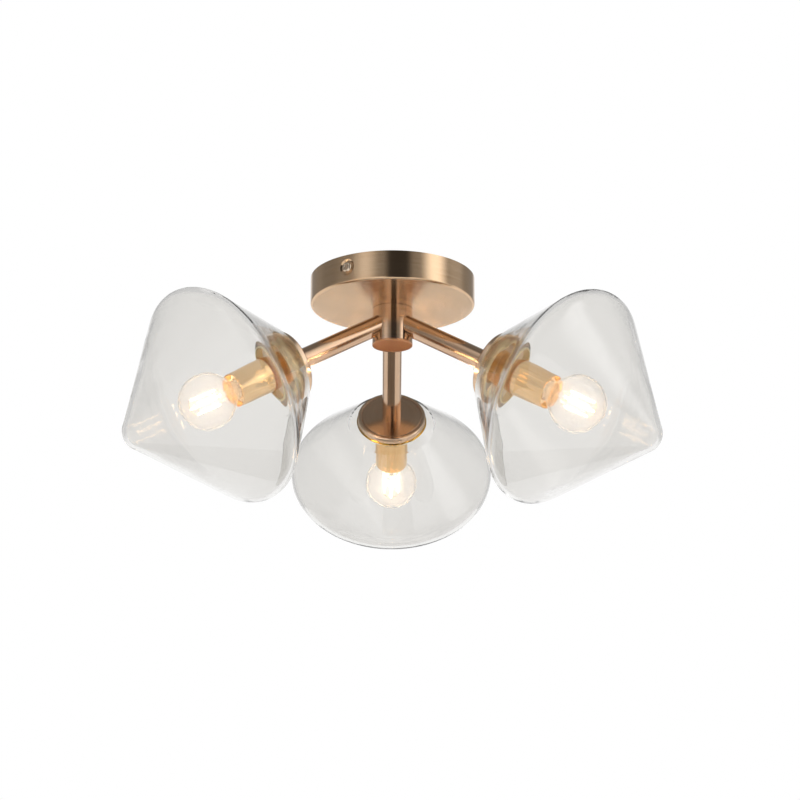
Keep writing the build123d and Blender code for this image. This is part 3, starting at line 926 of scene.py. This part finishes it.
    def build(self, glass: Material, glow: Material, nickel: Material,
              insulation: Material, solder: Material) -> None:
        """Models one lamp and sets a copy in each holder.

        Args:
            glass: of the globe and the stem.
            glow: of the filaments.
            nickel: of the screw base and the wires.
            insulation: of the base's insulator.
            solder: of the contact.
        """
        globe = turn("lamp_blank", self.face(0.0, 4.0) + self.face(self.wall, 4.8)[::-1], 96)
        base = self.base()
        insulator, contact = self.tip()
        rods, wires = self.filaments()
        for blank, title, finish, node, slot in (
                (globe, "lamp_globe", glass, "bulb_glass", "lamp_glass"),
                (base, "lamp_screw_base", nickel, "bulb_base", "nickel_plate"),
                (insulator, "lamp_base_insulator", insulation, "bulb_tip", "lamp_insulator"),
                (contact, "lamp_base_contact", solder, "", "plain_brass"),
                (rods, "lamp_filaments", glow, "bulb_filament", "filament"),
                (wires, "lamp_filament_frame", nickel, "", "nickel_plate")):
            smooth(blank, 40.0)
            hang(blank, title, finish, "bulb", node, finish is not glass)
        for arm in Arm:
            stem = frame["nodes"][f"bulb_stem_{arm.side}"]
            dress(stem, glass)
            stem.visible_shadow = False


@dataclass
class Caps:
    """The cap at each arm's end, with the thread for the shade's ring. Millimetres down the arm."""

    top: float = 109.0
    underside: float = 110.8
    radius: float = 25.5
    bore: float = 5.3
    skirt_radius: float = 24.2
    skirt_inner: float = 22.7
    skirt_end: float = 123.8
    thread_depth: float = 0.85
    thread_pitch: float = 1.9
    thread_wall: float = 0.5

    def build(self, finish: dict[Arm, Material]) -> None:
        """Turns one cap, winds its thread and sets a copy on each arm.

        Args:
            finish: the metal for each arm.
        """
        root, under, end = self.skirt_radius - self.thread_depth, self.underside, self.skirt_end
        disc = turn("cap_blank", [
            (self.bore, under), (self.bore, self.top), (self.radius, self.top, 0.35),
            (self.radius, under, 0.2), (root, under), (root, under + 0.9), (root + 0.02, end - 0.5),
            (root - 0.3, end), (self.skirt_inner, end, 0.2), (self.skirt_inner, under)], 128)
        thread = Thread(root, self.skirt_radius, under + 0.8, end - 0.5, self.thread_pitch, self.thread_wall,
                        ThreadForm.SHARP, 96).build("cap_thread")
        join(disc, thread)
        smooth(disc)
        hang(disc, "threaded_cap", finish, "fixture", "cap")


@dataclass
class Collars:
    """The ring cemented on each glass, with the brass edge that shows under it. Millimetres down the arm."""

    outer: float = 29.0
    opening: float = 24.6
    groove: float = 26.1
    top: float = 109.3
    ledge: float = 110.8
    bottom: float = 115.9
    seat: float = 113.5
    neck: float = 27.7
    waver_size: float = 1.7
    waver_height: float = 0.6

    def build(self, finish: dict[Arm, Material], brass: Material) -> None:
        """Turns one ring and its uneven brass edge and sets a copy on each shade.

        Args:
            finish: the ring's metal for each arm.
            brass: of the rolled edge.
        """
        outer, bottom = self.outer, self.bottom
        ring = turn("ring_blank", [
            (self.opening, self.ledge), (self.groove, self.ledge), (self.groove, self.top, 0.25),
            (outer - 0.7, self.top, 0.3), (outer, self.top + 1.0, 0.5), (outer, bottom - 1.0, 0.3),
            (outer - 0.35, bottom - 0.75), (outer - 0.35, bottom, 0.2), (self.neck, bottom),
            (self.neck, self.seat), (self.opening, self.seat)], 128, 5)
        edge = turn("edge_blank", [
            (outer - 0.2, bottom - 1.1), (outer + 0.35, bottom - 0.9, 0.2),
            (outer + 1.2, bottom - 0.15, 0.25), (outer + 1.0, bottom + 0.12, 0.1),
            (outer - 0.2, bottom + 0.12)], 180, 3)
        waver(edge, "edge_waver", self.waver_size, self.waver_height, 2, 1.0)
        for blank in (ring, edge):
            smooth(blank)
        hang(ring, "shade_collar", finish, "shade", "shade_ring")
        hang(edge, "collar_edge", brass, "shade", "")


@dataclass
class Sleeves:
    """The tube round each lampholder, threaded inside its mouth. Millimetres down the arm."""

    start: float = 111.8
    end: float = 165.0
    radius: float = 13.75
    wall: float = 0.75
    floor: float = 1.0
    bore: float = 5.3
    thread_start: float = 159.2
    thread_depth: float = 0.45
    thread_pitch: float = 1.5
    thread_wall: float = 0.15

    def build(self, finish: dict[Arm, Material], brass: Material) -> None:
        """Turns one sleeve with its inner thread and sets a copy on each arm.

        Args:
            finish: the sleeve's metal for each arm.
            brass: of the thread in the mouth.
        """
        inner, ground = self.radius - self.wall, self.start + self.floor
        sleeve = turn("sleeve_blank", [
            (self.bore, self.start), (self.radius, self.start, 0.4), (self.radius, self.end, 0.3),
            (inner, self.end, 0.3), (inner, ground), (self.bore, ground)], 96)
        form = Thread(inner - self.thread_depth, inner - 0.02, self.thread_start, self.end - 0.5,
                      self.thread_pitch, self.thread_wall, ThreadForm.ROUND, 64)
        thread = form.build("mouth_thread_blank")
        for blank in (sleeve, thread):
            smooth(blank)
        hang(thread, "mouth_thread", brass, "fixture", "")
        hang(sleeve, "holder_sleeve", finish, "fixture", "sleeve")


@dataclass(frozen=True)
class ScrewSize:
    """A pan-head screw, its seat at height 0 and its head up. Sizes in millimetres."""

    head_radius: float
    head_height: float
    shank: float
    length: float
    blades: int  # of the driver: 2 for a slot, 4 for a cross

    def build(self, name: str) -> Piece:
        """Turns the screw, sinks the driver's recess and breaks the edges.

        Args:
            name: the screw's name.

        Returns:
            The screw.
        """
        radius, height, shank = self.head_radius, self.head_height, self.shank
        flat = radius * 0.64
        quarter = [math.pi / 2 * step / 4 for step in range(4, -1, -1)]
        rise = [(flat + (radius - flat) * math.sin(angle), height * (0.22 + 0.78 * math.cos(angle)))
                for angle in quarter]
        screw = turn(name, [
            (0.0, -self.length), (shank - 0.4, -self.length), (shank, 0.4 - self.length), (shank, 0.0),
            (radius, 0.0), *rise, (radius * 0.56, height), (radius * 0.17, height), (0.0, height)], 24)
        self.recess(screw, height * 0.55, radius * 0.58)
        edge = screw.modifiers.new("edge", "BEVEL")
        edge.width, edge.segments = 0.05 * radius * MM, 2
        edge.limit_method, edge.angle_limit = "ANGLE", math.radians(50)
        apply_modifiers(screw)
        smooth(screw, 40.0)
        return screw

    def recess(self, screw: Piece, depth: float, reach: float) -> None:
        """Sinks a driver's recess into the flat top of the head.

        Args:
            screw: the turned screw.
            depth: how deep the recess goes.
            reach: the radius that it goes out to.
        """
        edit(screw)
        bpy.ops.mesh.select_mode(type="FACE")
        bpy.ops.mesh.select_all(action="DESELECT")
        bpy.ops.object.mode_set(mode="OBJECT")
        half = 180 / self.blades
        for polygon in screw.data.polygons:
            centre = polygon.center / MM
            off = abs((math.degrees(math.atan2(centre.y, centre.x)) + half) % (2 * half) - half)
            flat = polygon.normal.z > 0.9 and abs(centre.z - self.head_height) < 0.1
            spread = math.hypot(centre.x, centre.y)
            polygon.select = flat and spread < reach and (off < 15 or spread < reach / 3.2)
        bpy.ops.object.mode_set(mode="EDIT")
        bpy.ops.mesh.extrude_region_move(TRANSFORM_OT_translate={"value": (0.0, 0.0, -depth * MM)})
        bpy.ops.transform.resize(value=(0.8, 0.8, 1.0),
                                 center_override=(0.0, 0.0, (self.head_height - depth) * MM))
        bpy.ops.mesh.select_mode(type="VERT")
        face_out()


@dataclass
class Screws:
    """The two screws in the canopy's side, the earth screw and those of the terminal block."""

    side_screw: ScrewSize = ScrewSize(4.3, 2.4, 1.95, 8.0, 4)
    earth_screw: ScrewSize = ScrewSize(3.8, 2.8, 1.95, 1.5, 2)
    clamp_screw: ScrewSize = ScrewSize(1.85, 1.2, 1.0, 1.4, 2)
    strap_turn: float = 237.0  # degrees, from +X towards +Y
    ends: tuple[tuple[str, float, float], ...] = (("front", 237.0, 24.0), ("back", 57.0, 61.0))
    drop: float = 10.3
    seat: float = 66.4
    earth_place: tuple[float, float] = (-26.0, -1.5)
    clamp_place: tuple[float, float] = (24.0, -11.4)
    clamp_gap: float = 8.0

    def build(self, bright: Material, zinc: Material) -> None:
        """Sets the screws in their places.

        Args:
            bright: of the canopy's screws.
            zinc: of the rest.
        """
        blank = self.side_screw.build("side_screw")
        for name, direction, spin in self.ends:
            turned = math.radians(direction)
            outward = Vector((math.cos(turned), math.sin(turned), 0.0))
            place = Matrix.Translation(outward * self.seat * MM - Vector((0.0, 0.0, self.drop * MM)))
            facing = axes(Vector((-outward.y, outward.x, 0.0)), outward)
            screw = settle(twin(blank, f"cross_head_screw_{name}"),
                           place @ facing @ Matrix.Rotation(math.radians(spin), 4, "Z"))
            hand_over(screw, bright, "fixture", f"canopy_screw_{name}")
        bpy.data.objects.remove(blank)
        self.set_under(self.earth_screw.build("earth_screw_slotted"), *self.earth_place, "earth_screw", zinc)
        for pole in (-1, 0, 1):
            clamp = self.clamp_screw.build(f"terminal_screw_{pole + 2}")
            self.set_under(clamp, self.clamp_place[0] + self.clamp_gap * pole, self.clamp_place[1], "", zinc)

    def set_under(self, screw: Piece, along: float, height: float, node: str,
                  zinc: Material) -> None:
        """Sets a screw head down under the strap.

        Args:
            screw: the screw.
            along: its place along the strap in millimetres.
            height: of its seat.
            node: the node that it stands for, or nothing.
            zinc: its finish.
        """
        strap = Matrix.Rotation(math.radians(self.strap_turn), 4, "Z")
        seat = strap @ Matrix.Translation((along * MM, 0.0, height * MM))
        settle(screw, seat @ Matrix.Rotation(math.pi, 4, "X"))
        hand_over(screw, zinc, "fixture", node)


@dataclass
class Metalwork:
    """The copper-coloured metal: the ceiling pieces are brushed round Z, the rest round or along its arm."""

    # spun steel: broad bands down its side and light that fans out over its underside
    plate: BrushedMetal = BrushedMetal("brushed_copper_canopy", "#DDC0A0", "#CFAE8A", spread=0.05)
    # turned and fine: a dark band with sharp sides
    hub: BrushedMetal = BrushedMetal("brushed_copper_hub", roughness=0.16, anisotropy=0.5, spread=0.05)
    # etched matt: an even warm disc
    cover: BrushedMetal = BrushedMetal("satin_copper_cover", "#E6B48C", "#D9A078", roughness=0.36,
                                       anisotropy=0.3)
    # faced on a lathe: a fan of light, and the underside and skirt painted pale cream, a painted reflection
    # of the white that they mirror inside the glass
    cap: BrushedMetal = BrushedMetal("brushed_copper_cap", painted_reflection="#E9DDB9", painted_reflection_from_mm=110.75)
    # thin turned ring: a bright line along its edge
    collar: BrushedMetal = BrushedMetal("brushed_copper_collar", "#E4C9AE", "#D4B496")
    # drawn tube: long even stripes down the arm
    tube: BrushedMetal = BrushedMetal("brushed_copper_tube", roughness=0.17, anisotropy=0.3,
                                      grain=Grain.DRAWN)
    # drawn tube: painted lamp light, a lighter and golder copper than the arms' that stands in for the
    # lamp's light on it, with clear stripes
    sleeve: BrushedMetal = BrushedMetal("brushed_copper_sleeve_painted_lamp_light", "#FBDBAA", "#E6B980", roughness=0.12,
                                        anisotropy=0.2, grain=Grain.DRAWN)
    # painted shadow: a dark ring that stands in for the shadow line where the hub meets the canopy
    joint: Grained = Grained("painted_joint_shadow", "#3A2A1E", "#2A1D14", 0.5, 0.8)
    # rolled edge, polished by the tool: a broken golden line
    edge: Grained = Grained("rolled_brass_edge", "#D8B040", "#A97C22", 0.22, 1.0)
    # cut and left matt: a soft glow in the sleeve's mouth
    thread: Grained = Grained("satin_brass_thread", "#E8C98A", "#CFA862", 0.55, 0.6)
    joint_radii: tuple[float, float] = (16.2, 16.54)
    joint_heights: tuple[float, float] = (-26.3, -25.95)

    def build(self) -> None:
        """Dresses the CAD nodes and builds the finer caps, collars and sleeves."""
        nodes, middle, up = frame["nodes"], Vector((0.0, 0.0, 0.0)), Vector((0.0, 0.0, 1.0))
        for name, finish in (("canopy", self.plate), ("hub", self.hub), ("hub_cover", self.cover)):
            dress(nodes[name], finish.build(middle, up))
        # a thin dark ring at the hub's top: painted shadow of the seam against the canopy
        (inner, outer), (low, high) = self.joint_radii, self.joint_heights
        joint = turn("hub_joint_shadow_ring", [(outer, low, 0.05), (outer, high, 0.05), (inner, high),
                                        (inner, low)], 96, 3)
        smooth(joint, 30.0)
        hand_over(joint, self.joint.build(), "fixture", "")
        root = Vector((0.0, 0.0, HANG_POINT))
        tube, cap, collar, sleeve = ({arm: metal.build(root, arm.axis) for arm in Arm}
                                     for metal in (self.tube, self.cap, self.collar, self.sleeve))
        for arm in Arm:
            dress(nodes[f"arm_{arm.side}"], tube[arm])
        Caps().build(cap)
        Collars().build(collar, self.edge.build())
        Sleeves().build(sleeve, self.thread.build())


@dataclass
class Fittings:
    """The electrical and fixing pieces, most of them hidden."""

    # zinc plate: a cool, slightly cloudy grey
    zinc: Grained = Grained("zinc_plated_steel", "#C9CBCD", "#AEB1B4", 0.35, 1.2)
    # nickel plate on brass: a pale warm mirror
    nickel: Grained = Grained("nickel_plated_brass", "#D6D0C4", "#BDB6A8", 0.25, 1.0)
    # bare brass strip: yellow and a little dull
    brass: Grained = Grained("plain_brass", "#D9B56C", "#B98F48", 0.3, 1.0)
    # bright plate on a turned head: sharp highlights round the recess
    bright: Grained = Grained("bright_plated_screw", "#E6D6C2", "#CDB79E", 0.16, 0.8)
    # cooled solder: grey and softly lumpy
    solder: Grained = Grained("tin_solder", "#C4C6C8", "#A2A4A6", 0.4, 0.6)
    # urea moulding: off-white and satin
    plastic: MouldedPlastic = MouldedPlastic("white_moulded_plastic", "#EFEDE6", "#E4E1D8")
    # pressed black glass: dark with a small sharp sheen
    black_glass: MouldedPlastic = MouldedPlastic("black_base_glass", "#17161A", "#0E0D10", 0.15)
    # thin blown glass with the lamp's own haze: a clear rim round a soft white glare
    lamp_glass: ClearGlass = ClearGlass("lamp_glass", "#FFFFFF", film_share=0.11)
    # phosphor at a warm white colour temperature
    glow: LitPhosphor = LitPhosphor("lit_filament", "#FFDCAE", "#F6C66B")

    def build(self) -> None:
        """Dresses the hidden nodes and builds the screws and the lamps."""
        nodes = frame["nodes"]
        zinc, nickel, brass, plastic = (finish.build() for finish in (self.zinc, self.nickel, self.brass,
                                                                      self.plastic))
        for name in ("ceiling_bracket", "hub_nut", "hub_washer", "hub_nipple"):
            dress(nodes[name], zinc)
        dress(nodes["terminal_block"], plastic)
        for name, finish in (("insulator", plastic), ("lampholder", plastic), ("holder_shell", nickel),
                             ("holder_contact", brass), ("arm_nipple", zinc)):
            for arm in Arm:
                dress(nodes[f"{name}_{arm.side}"], finish)
        Screws().build(self.bright.build(), zinc)
        Lamps().build(self.lamp_glass.build(), self.glow.build(), nickel, self.black_glass.build(),
                      self.solder.build())


@dataclass(frozen=True)
class Area:
    """A patch of the surround that metal mirrors. Directions in degrees.

    It lies at a turn from the camera's side towards +X, reaches from a low to a high rise, and falls off
    over its edge.
    """

    turn: float
    half_width: float
    low: float
    high: float
    edge: float
    level: float

    def share(self, tree: Tree, turned: Node, raised: Node) -> Node:
        """Gives 1 inside the patch, falling to 0 over its edge.

        Args:
            tree: the world's tree.
            turned: a direction's turn.
            raised: its rise.

        Returns:
            The share.
        """
        off = add_node(tree, "Math SUBTRACT", {0: turned, 1: self.turn})
        away = add_node(tree, "Math ABSOLUTE", {0: off})
        soft = self.edge / 2
        wide, above, below = (add_node(tree, "MapRange", {
            "interpolation_type": "SMOOTHSTEP", "From Min": outside, "From Max": inside, "Value": measure})
            for outside, inside, measure in ((self.half_width + soft, self.half_width - soft, away),
                                             (self.low - soft, self.low + soft, raised),
                                             (self.high + soft, self.high - soft, raised)))
        band = add_node(tree, "Math MULTIPLY", {0: above, 1: below})
        return add_node(tree, "Math MULTIPLY", {0: wide, 1: band})


@dataclass(frozen=True)
class SoftBox:
    """A soft box that is aimed at the object. Directions in degrees, lengths in metres."""

    name: str
    turn: float  # from the camera's side towards +X
    rise: float
    distance: float
    size: tuple[float, float]
    level: float  # its brightness, where 1 is white
    aim_height: float = -0.08

    def build(self) -> None:
        """Hangs the soft box."""
        turned, rise = math.radians(self.turn), math.radians(self.rise)
        flat = math.cos(rise)
        towards = Vector((math.sin(turned) * flat, -math.cos(turned) * flat, math.sin(rise)))
        data = bpy.data.lights.new(self.name, "AREA")
        data.shape = "RECTANGLE"
        data.size, data.size_y = self.size
        data.energy = self.level * math.pi * self.size[0] * self.size[1]
        lamp = bpy.data.objects.new(self.name, data)
        bpy.context.scene.collection.objects.link(lamp)
        lamp.location = towards * self.distance + Vector((0.0, 0.0, self.aim_height))
        lamp.rotation_mode = "QUATERNION"
        lamp.rotation_quaternion = towards.to_track_quat("Z", "Y")
        # metal mirrors the soft-edged patches of the surround in its place
        lamp.visible_camera = lamp.visible_transmission = lamp.visible_glossy = False


@dataclass(frozen=True)
class FeltCard:
    """A felt card that metal mirrors and nothing else sees. Lengths in metres."""

    name: str
    place: tuple[float, float, float]
    size: tuple[float, float]
    colour: str
    upright: bool

    def build(self) -> None:
        """Sets the card, facing the object or lying under it."""
        clear_selection()
        bpy.ops.mesh.primitive_plane_add(size=1.0, location=self.place)
        card = bpy.context.active_object
        card.name = self.name
        edit(card)
        bpy.ops.transform.resize(value=(*self.size, 1.0), orient_type="GLOBAL")
        bpy.ops.object.mode_set(mode="OBJECT")
        card.rotation_euler = (math.pi / 2 if self.upright else 0.0, 0.0, 0.0)
        bpy.ops.object.transform_apply(location=True, rotation=True, scale=True)
        made, tree, _ = new_material(f"{self.name}_felt")
        felt = add_node(tree, "BsdfDiffuse", {"Color": linear(self.colour)})
        add_node(tree, "OutputMaterial", {"Surface": felt})
        dress(card, made)
        card.visible_camera = card.visible_diffuse = card.visible_transmission = card.visible_shadow = False


@dataclass
class Studio:
    """A pale floor a room's height down, a white backdrop, a dim room in front and two soft boxes."""

    floor_drop: float = 2.4
    floor_size: float = 40.0
    room: float = 0.30
    shown_share: float = 0.85  # of the floor that is plain white to the eye, the rest keeps the shadow
    mirrored_share: float = 0.74  # of white that is left where light was mirrored before it left the glass
    diffuse_level: float = 0.75
    backdrop: tuple[float, float] = (0.76, 0.94)  # how far back a direction points where the white starts
    bounces: int = 64
    areas: tuple[Area, ...] = (
        Area(8.0, 17.0, -20.0, 52.0, 12.0, 0.045),
        Area(62.0, 14.0, -20.0, 60.0, 22.0, 1.7),
        Area(-39.0, 12.0, -20.0, 60.0, 22.0, 0.88),
        Area(100.0, 14.0, -20.0, 60.0, 14.0, 0.50),
        Area(-100.0, 16.0, -20.0, 60.0, 16.0, 0.24),
        Area(0.0, 200.0, 60.0, 100.0, 14.0, 0.20),
    )
    furniture: tuple[SoftBox | FeltCard, ...] = (
        SoftBox("key_box", 62.0, 20.0, 2.2, (1.0, 2.0), 1.35),
        SoftBox("fill_box", -39.0, 20.0, 2.4, (0.85, 1.8), 0.8),
        FeltCard("studio_card", (0.3, -2.2, -0.81), (1.3, 1.5), "#2B2927", True),
        FeltCard("studio_mat", (-0.45, 0.55, -2.38), (3.2, 1.5), "#8A8580", False),
    )

    def build(self) -> None:
        """Sets the floor, the surround, the soft boxes and the cards."""
        self.lay_floor()
        self.light_world()
        for piece in self.furniture:
            piece.build()
        # light crosses up to eight walls of thick glass, and is lost as black lines if it is cut short
        cycles = bpy.context.scene.cycles
        cycles.max_bounces = cycles.transmission_bounces = cycles.glossy_bounces = self.bounces

    def lay_floor(self) -> None:
        """Lays a pale floor that keeps the object's shadow and still reads as white."""
        clear_selection()
        bpy.ops.mesh.primitive_plane_add(size=self.floor_size, location=(0.0, 0.0, -self.floor_drop))
        floor = bpy.context.active_object
        floor.name = "studio_floor"
        made, tree, _ = new_material("pale_floor")
        paint = add_node(tree, "BsdfDiffuse", {"Color": linear("#F4F4F2")})
        white = add_node(tree, "Emission", {"Color": (1.0, 1.0, 1.0, 1.0), "Strength": 1.0})
        glossy = add_node(tree, "LightPath").outputs["Is Glossy Ray"]
        eye = add_node(tree, "Math MULTIPLY", {0: self.seen(tree), 1: self.shown_share})
        share = add_node(tree, "Math MAXIMUM", {0: eye, 1: glossy})
        mix = add_node(tree, "MixShader", {0: share, 1: paint, 2: white})
        add_node(tree, "OutputMaterial", {"Surface": mix})
        dress(floor, made)

    def seen(self, tree: Tree) -> Node:
        """Gives 1 for the rays that reach the background straight or through glass, and less after a mirror.

        Args:
            tree: the tree that asks.

        Returns:
            The share of white that the ray sees.
        """
        path = add_node(tree, "LightPath")
        direct = add_node(tree, "MapRange", {"To Min": 1.0, "To Max": self.mirrored_share,
                                             "Value": path.outputs["Glossy Depth"]})
        through = add_node(tree, "Math MULTIPLY", {0: path.outputs["Is Transmission Ray"], 1: direct})
        return add_node(tree, "Math MAXIMUM", {0: path.outputs["Is Camera Ray"], 1: through})

    def mirrored_level(self, tree: Tree, direction: Socket) -> Node:
        """How bright the studio looks in metal, by direction.

        Args:
            tree: the tree that asks.
            direction: a unit vector from the object.

        Returns:
            The level.
        """
        side, back, up = add_node(tree, "SeparateXYZ", {0: direction}).outputs
        toward = add_node(tree, "Math MULTIPLY", {0: back, 1: -1.0})
        turn_angle = add_node(tree, "Math ARCTAN2", {0: side, 1: toward})
        rise_angle = add_node(tree, "Math ARCSINE", {0: up})
        turned, raised = (add_node(tree, "Math DEGREES", {0: angle})
                          for angle in (turn_angle, rise_angle))
        level: Node | float = self.room
        for area in self.areas:
            share = area.share(tree, turned, raised)
            level = add_node(tree, "Mix", {"data_type": "FLOAT", 0: share, 2: level, 3: area.level})
        white = add_node(tree, "MapRange", {"interpolation_type": "SMOOTHSTEP", "From Min": self.backdrop[0],
                                            "From Max": self.backdrop[1], "Value": back})
        return add_node(tree, "Math MAXIMUM", {0: level, 1: white})

    def light_world(self) -> None:
        """White where the eye or a glass looks through, a studio room where metal mirrors it."""
        world = bpy.data.worlds.new("studio_surround")
        bpy.context.scene.world = world
        world.use_nodes = True
        tree = world.node_tree
        tree.nodes.clear()
        mirrored = self.mirrored_level(tree, add_node(tree, "TexCoord").outputs["Generated"])
        diffuse = add_node(tree, "LightPath").outputs["Is Diffuse Ray"]
        even = add_node(tree, "Mix", {"data_type": "FLOAT", 0: diffuse, 2: mirrored, 3: self.diffuse_level})
        strength = add_node(tree, "Math MAXIMUM", {0: even, 1: self.seen(tree)})
        background = add_node(tree, "Background", {"Color": (1.0, 1.0, 1.0, 1.0), "Strength": strength})
        add_node(tree, "OutputWorld", {"Surface": background})


@dataclass(frozen=True)
class Viewpoint:
    """The photograph's camera, below the light and looking slightly up. Angles in degrees."""

    distance_mm: float = 1601.716
    rise: float = 16.807
    turn: float = -0.449
    roll: float = 0.161
    aim_side_mm: float = 6.356
    aim_height_mm: float = -103.627
    focal_pixels: float = 1976.628
    frame_pixels: float = 800.0
    sensor_mm: float = 36.0

    def build(self) -> None:
        """Makes the camera and sets it as the scene's."""
        rise, turned, roll = math.radians(self.rise), math.radians(self.turn), math.radians(self.roll)
        flat = math.cos(rise)
        forward = Vector((-math.sin(turned) * flat, math.cos(turned) * flat, math.sin(rise)))
        right = Vector((math.cos(turned), math.sin(turned), 0.0))
        across = right * math.cos(roll) + right.cross(forward) * math.sin(roll)
        aim = Vector((0.0, 0.0, self.aim_height_mm * MM)) + right * self.aim_side_mm * MM
        data = bpy.data.cameras.new("viewpoint")
        data.sensor_width = self.sensor_mm
        data.lens = self.focal_pixels * self.sensor_mm / self.frame_pixels
        camera = bpy.data.objects.new("viewpoint", data)
        bpy.context.scene.collection.objects.link(camera)
        place = Matrix.Translation(aim - forward * self.distance_mm * MM)
        camera.matrix_world = place @ axes(across, -forward)
        bpy.context.scene.camera = camera


def main() -> None:
    """Builds the classes in order."""
    logging.basicConfig(level=logging.INFO, format="%(name)s %(message)s")
    bpy.context.scene.view_settings.view_transform = "Standard"
    Viewpoint().build()
    Studio().build()
    Metalwork().build()
    Fittings().build()
    GlassShades().build(ClearGlass("shade_glass", "#F1F0EE").build())


if __name__ == "__main__":
    main()
